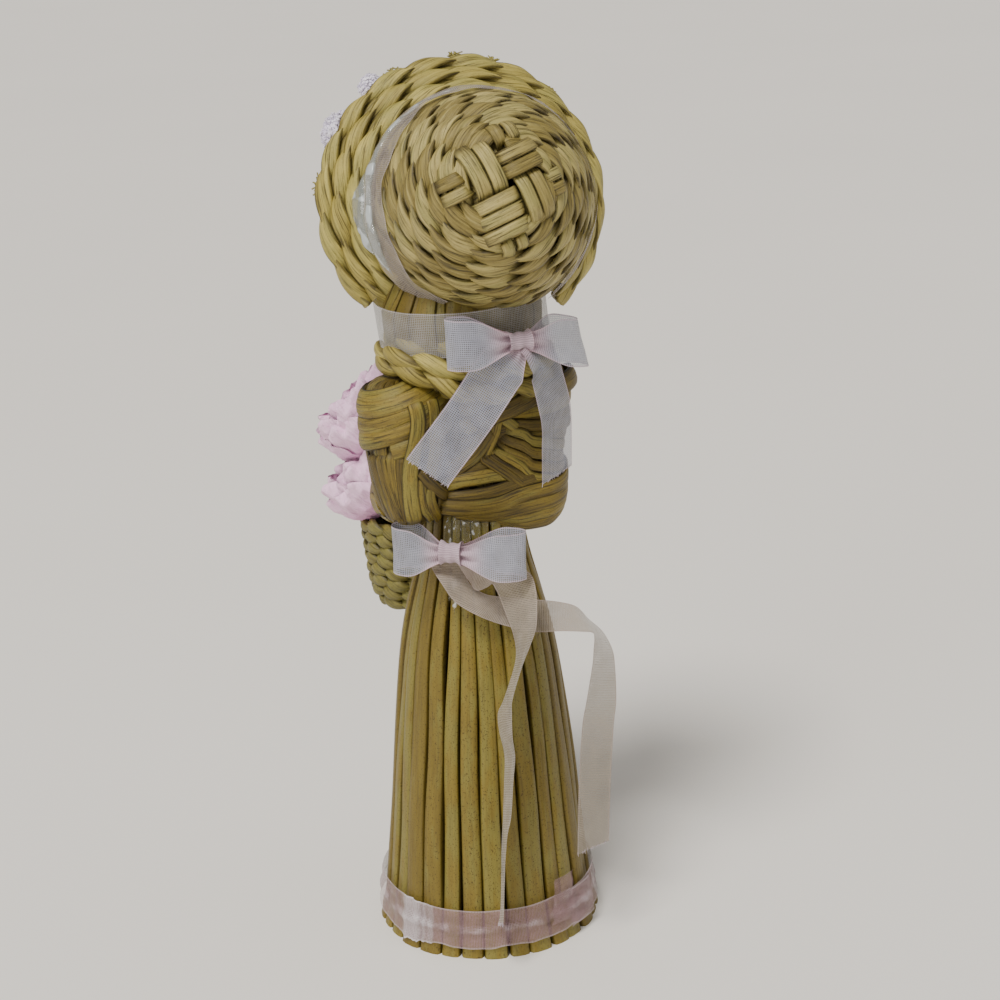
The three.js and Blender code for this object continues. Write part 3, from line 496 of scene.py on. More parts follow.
class Strands:
    """Collects strands, then makes them one piece."""

    def __init__(self, seed):
        self.rng = np.random.default_rng(seed)
        self.paths, self.faces, self.girths, self.tones, self.painted_shades = [], [], [], [], []

    def seed(self):
        """A seed for a strand's own wander."""
        return int(self.rng.integers(1 << 30))

    def add(self, path, face, girth, tone=None, shade=0.0):
        """A strand along a path. Its flat side looks along face; girth is its width, and its painted shade
        darkens it where it lies tucked under or in shadow.
        """
        path = np.asarray(path, float)
        count = len(path)
        self.paths.append(path)
        self.faces.append(np.broadcast_to(np.asarray(face, float), path.shape))
        self.girths.append(np.broadcast_to(np.asarray(girth, float), count))
        self.tones.append(np.full(count, self.rng.uniform(0, 1) if tone is None else tone))
        self.painted_shades.append(np.broadcast_to(np.asarray(shade, float), count))

    def make(self, name, material, slot, *nodes, thickness=0.45, facets=10, square=0.0):
        """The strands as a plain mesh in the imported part's frame."""
        mesh = bpy.data.meshes.new(name + " lines")
        points = row(np.vstack(self.paths))
        edges = []
        start = 0
        for path in self.paths:
            edges += [(i, i + 1) for i in range(start, start + len(path) - 1)]
            start += len(path)
        mesh.from_pydata(points.tolist(), edges, [])
        faces = mesh.attributes.new("face", "FLOAT_VECTOR", "POINT")
        faces.data.foreach_set("vector", unit(np.vstack(self.faces)).ravel())
        for label, values in (("tone", self.tones), ("shade", self.painted_shades), ("girth", self.girths)):
            kept = mesh.attributes.new(label, "FLOAT", "POINT")
            kept.data.foreach_set("value", np.concatenate(values) * (MM if label == "girth" else 1))
        lines = placed(name + " lines", mesh)
        modifier = lines.modifiers.new("strands", "NODES")
        modifier.node_group = STRANDS
        given = {"Thickness": float(thickness), "Square": float(square), "Facets": facets}
        given["Material"] = material
        for label, value in given.items():
            modifier[socket_name(label)] = value
        drawn = lines.evaluated_get(bpy.context.evaluated_depsgraph_get())
        solid = bpy.data.meshes.new_from_object(drawn)
        solid.name = name
        bpy.data.objects.remove(lines)
        bpy.data.meshes.remove(mesh)
        show(placed(name, solid), slot, *nodes)


def rope(strands, path, out, turn, girth, swell, sway, start=0.0, jitter=0.06):
    """Twists plies round a path. out is the side that shows; turn is the length of one whole twist."""
    reach = lengths(path)
    ahead = unit(np.gradient(path, axis=0))
    out = square_to(ahead, out)
    side = np.cross(ahead, out)
    ends = smoothstep(np.minimum(reach, reach[-1] - reach), -0.01, 0.02)
    for ply in range(ROPE_PLIES):
        drift = waves(strands.seed(), 9.0, reach) * jitter
        phase = math.tau * (reach / turn + ply / ROPE_PLIES + start) + drift * 4
        lift, slide = np.cos(phase), np.sin(phase)
        middle = path + out * (lift * swell * 0.5)[:, None] + side * (slide * sway * 0.5)[:, None]
        width = girth * (0.72 + 0.28 * lift) * (1 + drift) * (0.45 + 0.55 * ends)
        face = out * (1.15 + lift)[:, None] + side * (slide * 0.9)[:, None]
        # Painted shade on each ply where it turns under.
        strands.add(middle, face, width, shade=0.8 * smoothstep(-lift, -0.1, 0.95))


# Materials


STEM_MARKS = {"fibre": 0.25, "speckle": 0.85, "fine": 3.9, "rim": 0.6}
RUSH = straw("dried rush", "7c6a24", "6b5a1c", "2a1f06", "40300b", **STEM_MARKS)
# A darker copy of the rush for the stems and bundle deep inside the skirt: painted shade.
SHADED_INNER_RUSH = straw("rush in shade", "3d3312", "2a220b", "0d0a03", "151005")
ARM_RUSH = straw("flat rush strip", "8f7a2b", "5a4a16", "1d1404", "33240a", fibre=0.85, rim=1.0)
CROWN_RUSH = straw("twined straw", "bbab68", "7f7036", "281f09", "52431a", fibre=0.85, speckle=0.2)
BRIM_RUSH = straw("rope straw", "c3b35f", "8e7f38", "332809", "4e3e12", fibre=0.85, speckle=0.2)
BASKET_RUSH = straw("basket straw", "7f7636", "5f5624", "211b07", "3a2f0d")
RIBBON = organza("sheer ribbon", "b8bac8", "595861", "ddb6c2", 0.55)
# A warmer copy of the sheer ribbon for the waist tails: painted reflection of warm light from below.
TAIL_RIBBON = organza("worn sheer ribbon", "aea18f", "594e40", "bfaaa2", 0.62, period=0.36)
COLLAR = organza("collar organza", "b6b3b1", "615d52", "c3b9bb", 0.34)
GAUZE = organza("glued gauze", "b7aaa2", "75695c", "b7aaa2", 0.34)
HEM_CLOTH = organza("sheer hem ribbon", "b18b91", "735652", "d9d4d8", 0.33, crease=1.0, period=0.33)
PAPER = crepe_paper("crepe paper", "f9d0ec", "e9a2d5", "cd82bb")
GLUE_FILM = hot_glue("clear hot glue", "8f8a6c", 0.12, 0.6, "f2f5f6", 640)
GLUE_BEAD = hot_glue("milky hot glue", "a5aaa5", 0.42, 0.5, "c3cbcd", 300)
THREAD_MARKS = {"green": "cdbfc8", "speckle": 0.0, "rim": 0.2}
THREAD = straw("loose thread", "dccfd5", "c0b0b8", "95858d", "95858d", **THREAD_MARKS)
TUFT_MARKS = {"green": "ece6f4", "speckle": 0.0, "rim": 0.0}
TUFT_THREAD = straw("frayed cloth", "f6f2fb", "e2daee", "c9bfdb", "c9bfdb", **TUFT_MARKS)


# Skirt


def round_axis(angle, radius, z):
    """Points round an upright axis."""
    return xyz(radius * np.cos(angle), radius * np.sin(angle), z)


def skirt_stems():
    spacing = math.tau / STEM_COUNT
    z = np.linspace(0, SKIRT_TOP, 42)
    radius = skirt_radius(z)
    chance = np.random.default_rng(3)
    uneven = chance.uniform(0.8, 1.2, STEM_COUNT)
    uneven = uneven / uneven.mean()
    middles = spacing * (np.cumsum(uneven) - 0.5 * uneven - 0.5)
    for number, (middle, share) in enumerate(zip(middles, uneven)):
        stem = Strands(100 + number)
        angle = middle + spacing * 0.09 * waves(200 + number, 26.0, z)
        for gap, height in STEM_GAPS:
            away = math.remainder(middle - math.radians(gap), math.tau) / spacing
            parted = math.copysign(math.exp(-away * away), away)
            angle = angle + spacing * 0.2 * parted * np.exp(-(((z - height) / 15) ** 2))
        foot = 1 + 0.03 * smoothstep(-z, -6, -1)
        chord = 2 * radius * math.sin(0.5 * spacing * share)
        width = chord * foot * (0.97 + 0.035 * waves(300 + number, 14.0, z))
        out = round_axis(angle, 1, 0)
        depth = radius + 0.3 * waves(400 + number, 20.0, z)
        stem.add(round_axis(angle, depth, z), out, width)
        name = "%02d" % (number + 1)
        node = "skirt_stem_" + name
        stem.make("rush_stem_" + name, RUSH, "rush", node, thickness=0.66, facets=16, square=1.0)


def bundle(strands, path, radius, count, share=1.12):
    """Flat strips laid side by side round a path."""
    ahead = unit(np.gradient(path, axis=0))
    side = unit(np.cross(ahead, [0.0, 0.31, 0.95]) + ahead * 1e-6)
    up = np.cross(side, ahead)
    radius = np.broadcast_to(radius, len(path))
    for number in range(count):
        wander = 0.12 * waves(strands.seed(), 12.0, lengths(path)) * 5 / count
        angle = math.tau * number / count + wander
        out = side * np.cos(angle)[:, None] + up * np.sin(angle)[:, None]
        width = math.tau * radius / count * share
        strands.add(path + out * (radius + 0.15 * (number % 2))[:, None], out, width)


def inner_stems():
    inside = Strands(11)
    z = np.linspace(*INNER_STEM_Z, 18)
    deep = skirt_radius(z) - 3.6
    for number in range(STEM_COUNT):
        angle = math.tau * (number + 0.5) / STEM_COUNT
        out = round_axis(angle, 1, 0)
        inside.add(round_axis(angle, deep, z), out, math.tau * deep / STEM_COUNT * 1.15)
    bundle(inside, xyz(0, 0, np.linspace(*WAIST_BUNDLE_Z, 12)), 6.6, 13)
    inside.make("inner_stems_bundle", SHADED_INNER_RUSH, "rush", "inner_stems", thickness=0.6, facets=8)


def back_strips():
    back = Strands(12)
    z = np.linspace(*BACK_STRIP_Z, 14)
    for number, x in enumerate((-2.9, 0, 2.9)):
        y = 4.8 + 0.5 * np.sin(np.linspace(0, math.pi, 14)) + 0.1 * number
        across = ARM_LEAN + x + 0.15 * waves(number, 8.0, z)
        back.add(xyz(across, y, z), [0.1 * x, 1, 0], 3.1, tone=0.9)
    bundle(back, xyz(ARM_LEAN, -1.6, np.linspace(*CHEST_Z, 14)), 6.1, 15)
    back.make("back_strip_row", RUSH, "rush", "back_strips", thickness=0.4, facets=12)


# Shoulders


def yoke():
    strips = Strands(21)
    a = np.radians(np.linspace(-25, 205, 30))
    for x in np.linspace(-12.6, 12.6, YOKE_STRIPS):
        deep = 10.6 * math.sqrt(1 - (x / 14.6) ** 2)
        path = xyz(x, -deep * np.cos(a), YOKE_Z + 5.4 * np.sin(a))
        strips.add(path, xyz(0.06 * x, -np.cos(a), np.sin(a)), 2.9)
    strips.make("yoke_strips", ARM_RUSH, "arm_rush", "shoulder_yoke", thickness=0.32)


def shoulder_ropes():
    """Ropes across the back. Each row has its height, its size and how far it climbs to the doll's left."""
    a = np.radians(np.linspace(104, -104, 260))
    out = unit(xyz(np.sin(a) / ROPE_HALF_WIDTH, np.cos(a) / ROPE_HALF_DEPTH, 0))
    climb = smoothstep(np.sin(a), 0.1, 1)
    lower, upper = ROPE_Z
    ropes = {"lower": (22, ((lower, 1, 4.2),)), "upper": (23, ((upper, 1, 2), (NECK_ROPE_Z, 0.88, 0)))}
    for name, (seed, rows) in ropes.items():
        twisted = Strands(seed)
        for z, grow, lifted in rows:
            x = ROPE_HALF_WIDTH * grow * np.sin(a)
            y = ROPE_HALF_DEPTH * grow * np.cos(a)
            path = xyz(x, y, z + 0.8 * np.sin(a) + lifted * climb)
            rope(twisted, path, out, 17, 4.1, swell=1.5, sway=1.9, start=0.13 * seed)
        made = "shoulder_rope_" + name
        twisted.make(made + "_twist", BRIM_RUSH, "hat_rush", made, thickness=0.62, facets=12)


# Bonnet


def crown_point(level, angle, lift=0.0):
    """Point of the crown at an angle of its ellipse and clockwise round from the top, and the way out.

    The apex leans off the middle a little.
    """
    x = np.cos(level) * np.sin(angle)
    y = np.cos(level) * np.cos(angle)
    z = np.sin(level)
    out = unit(xyz(x / CROWN_R, y / CROWN_R, z / CROWN_H))
    skin = xyz(CROWN_R * x, CROWN_R * y, CROWN_H * z) + CROWN_LEAN * (z * z)[..., None]
    return hat(skin + out * np.asarray(lift)[..., None]), hat_way(out)


def brim_point(angle, out, over):
    """Point of the brim by angle from the top, distance out from the crown and height over its middle."""
    share = np.abs(angle) / math.radians(BRIM_REACH)
    flare = np.radians(BRIM_FLARE_TOP + (BRIM_FLARE_END - BRIM_FLARE_TOP) * share * share)
    r = BRIM_START_R + out * np.sin(flare) + over * np.cos(flare)
    z = BRIM_START_Z - out * np.cos(flare) + over * np.sin(flare)
    return hat(xyz(r * np.sin(angle), r * np.cos(angle), z))


def brim_over(angle, out):
    """The way over the brim, square to its middle."""
    return brim_point(angle, out, 1) - brim_point(angle, out, 0)


def crown():
    straws = Strands(31)
    turns = np.linspace(0, CROWN_ROWS, CROWN_ROWS * 150)
    start = CROWN_TOP + 0.05
    level = start - (start - CROWN_LOW) * turns / CROWN_ROWS
    path, out = crown_point(level, math.tau * turns, -0.15)
    rope(straws, path, out, -16.4, 3.8, swell=1.0, sway=1.2, jitter=0.12)
    level = np.linspace(CROWN_LOW, CROWN_TOP + 0.25, 20)
    for number in range(CROWN_STAKES):
        path, out = crown_point(level, math.tau * number / CROWN_STAKES, -1.5)
        straws.add(path, out, math.tau * CROWN_R * np.cos(level) / CROWN_STAKES * 1.2)
    for path, out, width, shade in plait_strips():
        straws.add(path, out, width, shade=shade)
    straws.make("crown_twining", CROWN_RUSH, "hat_rush", "hat_crown", thickness=0.34, facets=10)


def plait_strips():
    """Strips of the check at the apex: each lies over a quarter, dives under the next and shows beyond it.

    A strip has its place across, its two ends, its width and, for the short ends, whether it stands upright.
    """
    upright = [(-5.2, -1.9, 9.8, 3.2), (-2.0, -2.0, 9.9, 3.2), (2.1, -9.8, 1.8, 2.8), (5.0, -9.6, 1.6, 2.8)]
    level = [(1.9, -1.7, 9.2, 2.8), (4.8, -1.4, 9.0, 2.8)]
    level += [(-2.1, -8.9, 1.7, 2.8), (-5.0, -9.1, 1.6, 2.8), (-7.9, -8.9, 1.3, 2.8)]
    ends = [(-5.2, -12.6, -8.6, 2.6, True), (-2.2, -12.4, -8.8, 2.6, True), (2.2, 5.9, 11.4, 2.6, True)]
    ends += [(5.0, 5.7, 10.9, 2.5, True), (2.0, -12.4, -6.3, 2.7, False), (4.9, -12.0, -6.4, 2.7, False)]
    ends += [(-2.2, 6.0, 11.2, 2.5, False), (-5.0, 6.2, 11.0, 2.5, False)]
    strips = [(*strip, True, 1.5) for strip in upright] + [(*strip, False, 1.5) for strip in level]
    strips += [(*strip, 0.4) for strip in ends]
    made = []
    for place, low, high, width, stands, rise in strips:
        t = np.linspace(0, 1, 18)
        reach = low + (high - low) * t
        arch = rise - 3.8 * np.abs(2 * t - 1) ** 3.6
        p, q = (place, reach) if stands else (reach, place)
        x = p * math.cos(PLAIT_TURN) - q * math.sin(PLAIT_TURN) + CROWN_LEAN[0]
        y = p * math.sin(PLAIT_TURN) + q * math.cos(PLAIT_TURN) + CROWN_LEAN[1]
        fall = (p * p + q * q) * 0.014
        z = CROWN_H * math.sin(CROWN_TOP) + 1.5 + arch - fall
        out = hat_way(xyz(0.03 * x, 0.03 * y, 1))
        # Painted shade at both ends of each strip, where it dives under.
        made.append((hat(xyz(x, y, z)), out, width, smoothstep(np.abs(2 * t - 1), 0.7, 1.0)))
    return made


def brim():
    straws = Strands(32)
    for number, (left, right) in enumerate(BRIM_RUNS):
        angle = np.radians(np.linspace(-BRIM_REACH - left, BRIM_REACH + right, 520))
        out = BRIM_FIRST_ROW + BRIM_PITCH * number
        path = brim_point(angle, out, 0.1 * waves(40 + number, 0.4, angle))
        over = brim_over(angle, out)
        rope(straws, path, over, -18.5, 4.1, swell=0.75, sway=1.0, start=0.27 * number, jitter=0.1)
        # A dark backing strand under each row: painted shade that fills the gaps between rows.
        straws.add(brim_point(angle, out - 0.5 * BRIM_PITCH, -0.7), over, 3.2, shade=0.55)
    for degrees in BRIM_LOOSE_ENDS:
        for _ in range(22):
            place = np.radians(degrees + straws.rng.normal(0, 1.7, 3))
            reach = np.array([13.4, 14.2, straws.rng.uniform(14.7, 15.6)])
            loose = brim_point(place, reach, straws.rng.uniform(-0.6, 0.6, 3))
            straws.add(loose, [0.3, 0.9, 0.3], 0.3, tone=1)
    straws.make("brim_ropes", BRIM_RUSH, "hat_rush", "hat_brim", thickness=0.38, facets=12)


# Arms


def arm_skin(side, turn, down, lift):
    """Points of an upper arm and elbow, and the way out, by degrees from the back outwards and mm down.

    The arm domes in above its top. The left one narrows downwards, and the right one runs on towards the
    middle of the back.
    """
    turn, down, lift = np.broadcast_arrays(np.radians(turn), np.asarray(down, float), np.asarray(lift, float))
    left = side > 0
    elbow = ELBOW_Z + 1 if left else ELBOW_Z - RIGHT_ELBOW_DROP
    bent = np.clip((down - (ARM_TOP_Z - elbow)) / ARM_SKIN_R, 0, math.pi / 2)
    cap = np.clip(-down / ARM_SKIN_R, 0, math.pi / 2)
    inner = (turn < 0) & (not left)
    wide = np.where(inner, 2.3, 1)
    deep = np.where(inner, np.sign(np.cos(turn)) * np.sqrt(np.abs(np.cos(turn))), np.cos(turn))
    outer_side = smoothstep(turn, 0, 1.2) * smoothstep(down, 5, 15)
    narrowing = 0.12 * np.maximum(down - 8, 0) if left else 2.5 * outer_side
    reach = (ARM_SKIN_R + lift - narrowing) * np.cos(bent) * np.sqrt(np.cos(cap))
    middle = np.array([side * ARM_X + ARM_LEAN, ARM_Y, 0])
    height = np.clip(ARM_TOP_Z - down, elbow, ARM_TOP_Z)
    z = height - (ARM_SKIN_R + lift) * np.sin(bent) + (ARM_DOME + lift) * np.sin(cap)
    place = xyz(side * np.sin(turn) * wide * reach, deep * reach, z)
    level = np.cos(bent)
    out = xyz(side * np.sin(turn) / wide * level, np.cos(turn) * level, np.sin(cap) - np.sin(bent))
    return middle + place, unit(out)


def arm_strip(strands, side, marks, width, lift, count=36, tone=None):
    """Flat strip over the arm through marks of turn and distance down, tucked in at both ends."""
    line = spline([(turn * ARM_MM_PER_DEGREE, down, 0) for turn, down in marks], count)
    seed = strands.seed()
    t = np.linspace(0, 1, count)
    tuck = smoothstep(np.minimum(t, 1 - t), 0, 0.1)
    down = line[:, 1] + 0.2 * waves(seed, 0.25, t)
    turn = line[:, 0] / ARM_MM_PER_DEGREE
    path, out = arm_skin(side, turn, down, lift + 1.1 * (tuck - 1))
    girth = width * (0.86 + 0.14 * tuck) * (1 + 0.05 * waves(seed + 1, 0.2, t))
    # Painted shade on the strip's tucked ends.
    strands.add(path, out, girth, tone, 0.7 * (1 - tuck))


def upright_strips(strands, side, count=15, shade=0.25):
    """Strips that run down the arm from its dome and gather under the elbow."""
    for number in range(count):
        down = np.concatenate([np.linspace(-12.3, -8, 10), np.linspace(-7, 28.5, 40)])
        seed = strands.seed()
        turn = 20 * side + (360 / count * number - 180) * (1 - 0.35 * smoothstep(down, 9, 27))
        path, out = arm_skin(side, turn + 3 * waves(seed, 9.0, down), down, -0.45 + 0.5 * (number % 2))
        narrow = np.maximum(np.cos(np.clip((down - 18.2) / ARM_SKIN_R, 0, 1.45)), 0.3)
        tucked = smoothstep(-down, -1, 6)
        girth = math.tau * ARM_SKIN_R / count * 1.18 * narrow * (1 - 0.4 * tucked)
        # Painted shade on these under-strips, deeper where they tuck under the dome.
        strands.add(path, out, girth, shade=shade + 0.2 * tucked)


def arm_cap(strands, side):
    """Strips bent over the top of the arm, under its winding."""
    for turn in range(-30, 200, 23):
        down = np.linspace(-2.5, -12.2, 16)
        lift = np.linspace(-0.6, 1.2, 16)
        path, out = arm_skin(side, turn - 2.5 * (down + 2.5), down, lift)
        # Painted shade on these strips, which lie under the winding.
        strands.add(path, out, 5.2 * (1 - 0.45 * smoothstep(-down, 6, 12.2)), shade=0.25)


def forearm(strands, side, hand):
    elbow = (side * 12.8 + ARM_LEAN, -3, ELBOW_Z - 1)
    upper = (side * ARM_X + ARM_LEAN, ARM_Y, ELBOW_Z)
    path = spline([upper, elbow, (0.5 * (elbow[0] + hand[0]) + side, -10, 93.5), hand], 30)
    bundle(strands, path, np.interp(np.linspace(0, 1, 30), [0, 0.35, 1], [6.2, 6.0, 3.4]), 9, share=1.15)


def winding(strands, side, turns, top, pitch, rise, lift):
    """One unbroken strip wound down the arm. It climbs towards the inside by rise, most at the top."""
    t = np.linspace(0, 1, int(70 * turns))
    round_way = 360 * turns * t + 180
    seed = strands.seed()
    tilt = rise * np.cos(np.radians(round_way - 110)) * (1 - 0.45 * t)
    down = top + pitch * turns * t + tilt + 0.3 * waves(seed, 0.05, t)
    path, out = arm_skin(side, round_way, down, lift + 0.2 * waves(seed + 1, 0.04, t))
    # Painted shade on the side of the winding that faces the doll's front.
    dark = 0.5 * smoothstep(np.cos(np.radians(round_way - 20 * side)), 0.1, -0.6)
    strands.add(path, out, 4.0 * (1 + 0.06 * waves(seed + 2, 0.06, t)), shade=dark)


# Strips seen from the back, as turn and distance down the arm, with width and lift
LEFT_STRIPS = [
    ([(6, -5), (2, 1), (6, 5.5), (14, 11), (15, 18), (8, 24)], 3.5, 1.75),
    ([(-20, -5), (-21, 2), (-18, 9), (-10, 15)], 3.2, 1.3),
    ([(22, 8), (24, 12), (22, 18.5), (14, 24)], 3.0, 1.1),
    ([(38, 8), (38, 12.5), (34, 19), (28, 24)], 3.1, 0.9),
    ([(54, 8), (52, 12.5), (42, 19), (34, 23.5)], 3.0, 1.0),
    ([(74, 8.5), (68, 13), (54, 19.5), (48, 24)], 3.1, 0.8),
    ([(4, 11), (-10, 14.5), (-32, 17.5), (-60, 20)], 2.6, 1.9),
    ([(0, 12.5), (0, 16), (-4, 19.5), (-30, 23.5)], 2.5, 1.7),
    ([(-16, 15), (-12, 17.5), (-22, 20.5), (-52, 24)], 2.4, 1.9),
    ([(-40, 14), (-36, 18), (-44, 22), (-70, 25)], 2.4, 1.3),
]
RIGHT_STRIPS = [
    ([(-78, 18), (-56, 14), (-40, 13), (-28, 13.5), (-12, 15)], 3.6, 0.9),
    ([(-86, 18), (-70, 16.5), (-48, 15.5), (-28, 15), (-16, 15.5)], 3.4, 1.3),
    ([(-25, 2), (-32, 4), (-40, 7.5), (-52, 11), (-72, 14)], 3.2, 0.8),
    ([(-30, 5), (-36, 8), (-44, 11), (-56, 13), (-75, 15)], 2.8, 1.2),
    ([(-14, 6.5), (-26, 3.5), (-30, 6.5), (-34, 9), (-38, 12)], 2.4, 1.2),
    ([(-30, 5), (-14, 5.5), (-2, 6), (60, 7), (100, 8)], 2.8, 0.7),
    ([(-30, 5.5), (-14, 7), (-2, 9.5), (50, 11.5), (100, 12)], 2.6, 1.0),
    ([(-31, 7), (-14, 9.5), (-2, 12), (50, 14), (100, 14)], 2.6, 1.15),
    ([(-33, 8.5), (-14, 12), (-2, 14.5), (50, 16.5), (100, 16)], 2.6, 1.3),
    ([(-35, 9), (-16, 13.5), (-4, 17), (40, 19)], 2.5, 1.45),
    ([(-37, 10), (-20, 14.5), (-6, 18), (20, 20)], 2.4, 1.6),
    ([(-39, 10.5), (-24, 14.5), (-12, 18.5), (0, 20.5)], 2.3, 1.75),
    ([(-95, 19.5), (-80, 20), (-60, 19.5), (-34, 19), (-16, 17.5), (0, 16.5)], 3.8, 1.5),
    ([(-95, 20), (-82, 20.5), (-50, 21.2), (-28, 21.2), (-10, 19.6), (32, 18.5), (95, 17)], 3.7, 2.0),
    ([(-70, 21.5), (-56, 22), (-34, 22.8), (-10, 22.2), (32, 21), (95, 19.6)], 3.7, 1.8),
    ([(-50, 22.6), (-32, 23), (-18, 24.2), (-2, 23.8), (32, 22.8), (95, 22)], 3.6, 1.6),
    ([(-45, 24), (-28, 24.6), (-16, 26.4), (0, 26.4), (28, 24.9), (95, 24.5)], 3.6, 1.4),
    ([(-44, 5), (-30, 2.6), (-20, 1.5), (-10, 0), (0, -1.2), (50, -3), (95, -3)], 4.2, 1.9),
]


def arms():
    left = Strands(51)
    upright_strips(left, 1)
    arm_cap(left, 1)
    forearm(left, 1, (10, -16.2, 90))
    for number, (marks, width, lift) in enumerate(LEFT_STRIPS):
        arm_strip(left, 1, marks, width, lift, tone=0.95 if number < 2 else None)
    left.make("left_arm_strips", ARM_RUSH, "arm_rush", "left_arm", thickness=0.28)
    wound = Strands(52)
    winding(wound, 1, 4.6, -9.4, 3.6, 4.2, 0.9)
    wound.make("left_arm_wrap", ARM_RUSH, "arm_rush", "left_arm_winding", thickness=0.36, facets=12)
    right = Strands(53)
    # The right arm's under-strips get deeper painted shade.
    upright_strips(right, -1, count=25, shade=0.45)
    arm_cap(right, -1)
    forearm(right, -1, (-2, -16.2, 90))
    for down in (0, 3.2, 6.4, 9.6):
        arm_strip(right, -1, [(-75, down + 3), (-30, down), (40, down - 1), (110, down)], 4.2, 0.1)
    for marks, width, lift in RIGHT_STRIPS:
        arm_strip(right, -1, marks, width, lift, count=60)
    right.make("right_arm_strips", ARM_RUSH, "arm_rush", "right_arm", thickness=0.34)
    wound = Strands(54)
    winding(wound, -1, 2.0, -3, 2.6, 1.0, 0.5)
    wound.make("right_arm_wrap", ARM_RUSH, "arm_rush", "right_arm_winding", thickness=0.28, facets=12)


# Basket and head


def basket():
    straws = Strands(61)
    middle = np.array([BASKET_X, BASKET_Y, 0])
    turns = np.linspace(0, BASKET_ROWS, BASKET_ROWS * 110)
    share = turns / BASKET_ROWS
    r = BASKET_BOTTOM_R + (BASKET_TOP_R - BASKET_BOTTOM_R) * np.sqrt(share) - 0.9
    a = math.tau * turns
    out = round_axis(a, 1, 0)
    z = BASKET_Z + 1.3 + (BASKET_HEIGHT - 2.4) * share + 0.35 * np.sin(5 * a)
    rope(straws, middle + round_axis(a, r, z), out, 9.5, 3.3, swell=1.2, sway=1.0, jitter=0.1)
    turns = np.linspace(0, BASKET_FLOOR_ROWS, 240)
    r = BASKET_BOTTOM_R - 1.2 - 2.6 * turns
    path = middle + round_axis(math.tau * turns, r, BASKET_Z + 1.2)
    rope(straws, path, [0, 0, -1], 8, 3.2, swell=0.8, sway=1.0)
    straws.make("basket_twining", BASKET_RUSH, "basket_rush", "basket", thickness=0.5, facets=10)


def head():
    """Plain rush ball on a neck, with the strips that fill the collar."""
    husk = Strands(62)
    centre = HAT_PLACE + hat_way([0.0, 0.0, 1.0]) * 2
    fall = np.linspace(0.08, 2.75, 34)
    for number in range(HEAD_STRIPS):
        a = math.tau * number / HEAD_STRIPS
        way = round_axis(a, np.sin(fall), np.cos(fall))
        width = math.tau * HEAD_R * np.sin(fall) / HEAD_STRIPS * 1.16 + 0.3
        husk.add(centre + way * (HEAD_R - 0.3 * (number % 2)), way, width)
    for number in range(NECK_STRIPS):
        a = math.tau * number / NECK_STRIPS
        way = round_axis(a, 1, 0)
        husk.add(xyz(HAT_PLACE[0], -3, np.linspace(*NECK_Z, 12)) + way * NECK_R, way, 3.9)
    up = np.linspace(0, 1, 16)
    for number in range(NECK_STRAWS):
        a = math.tau * number / NECK_STRAWS
        way = np.array([math.sin(a), math.cos(a), 0])
        grow = np.interp(up, [0, 0.25, 0.55, 1], [0.8, 0.95, 0.98, 0.66]) + husk.rng.uniform(-0.03, 0.01)
        grow = grow - 0.03 * up * (1 - math.sin(a))
        twist = np.array([math.cos(a), -math.sin(a), 0]) * husk.rng.uniform(-2.2, 2.2)
        path = way * [ROPE_HALF_WIDTH, ROPE_HALF_DEPTH, 0] * grow[:, None] + twist * (up * up)[:, None]
        path = path + xyz(0, 0, NECK_STRAW_Z + NECK_STRAW_RISE * up)
        # Random painted shade on the straws that stand in the hat's shadow behind the collar.
        husk.add(path, way, husk.rng.uniform(2.6, 4.2), shade=husk.rng.uniform(0.05, 0.35))
    husk.make("head_husk", RUSH, "rush", "head", thickness=0.25, facets=8)


# Ribbons


def cloth(name, grids, material, slot, nodes):
    """One piece of cloth or paper from grids of points, each with its UV map in millimetres."""
    points, faces, weaves, gathers = [], [], [], []
    start = 0
    for grid, weave, *pinched in grids:
        rows, columns = grid.shape[:2]
        number = start + np.arange(rows * columns).reshape(rows, columns)
        corners = np.stack([number[:-1, :-1], number[1:, :-1], number[1:, 1:], number[:-1, 1:]], axis=-1)
        faces += corners.reshape(-1, 4).tolist()
        points.append(grid.reshape(-1, 3))
        weaves.append(weave.reshape(-1, 2))
        wide = np.linalg.norm(grid[:, -1] - grid[:, 0], axis=1)
        gathers.append(np.repeat(np.clip(1 - wide / RIBBON_WIDTH + sum(pinched), 0, 1), columns))
        start += rows * columns
    mesh = bpy.data.meshes.new(name)
    mesh.from_pydata(row(np.vstack(points)).tolist(), [], faces)
    corners = np.empty(len(mesh.loops), int)
    mesh.loops.foreach_get("vertex_index", corners)
    mesh.uv_layers.new(name="weave").data.foreach_set("uv", np.vstack(weaves)[corners].ravel())
    mesh.attributes.new("gather", "FLOAT", "POINT").data.foreach_set("value", np.concatenate(gathers))
    mesh.materials.append(material)
    mesh.shade_smooth()
    piece = placed(name, mesh)
    show(piece, slot, *nodes)


def ribbon_weave(across, reach):
    """UV map of a ribbon in millimetres. across runs from -0.5 to 0.5, reach along the ribbon."""
    return np.stack(np.broadcast_arrays(across * RIBBON_WIDTH, reach[:, None]), axis=-1)


def tail_grid(path, side, width, seed):
    """Grid and weave of a ribbon along a path. side is the way across it."""
    reach = lengths(path)
    ahead = unit(np.gradient(path, axis=0))
    side = square_to(ahead, side)
    out = np.cross(ahead, side)
    across = np.linspace(-0.5, 0.5, RIBBON_COLUMNS)
    gathered = 1 - width / RIBBON_WIDTH
    pleats = np.cos(across[None, :] * math.tau * 2.5) * gathered[:, None] * 0.8
    billow = 0.3 * (waves(seed, 7.0, reach)[:, None] + 0.6 * waves(seed + 1, 0.25, across)[None, :])
    spread = side[:, None, :] * (across[None, :] * width[:, None])[..., None]
    grid = path[:, None, :] + spread + out[:, None, :] * (pleats + billow)[..., None]
    return grid, ribbon_weave(across, reach)


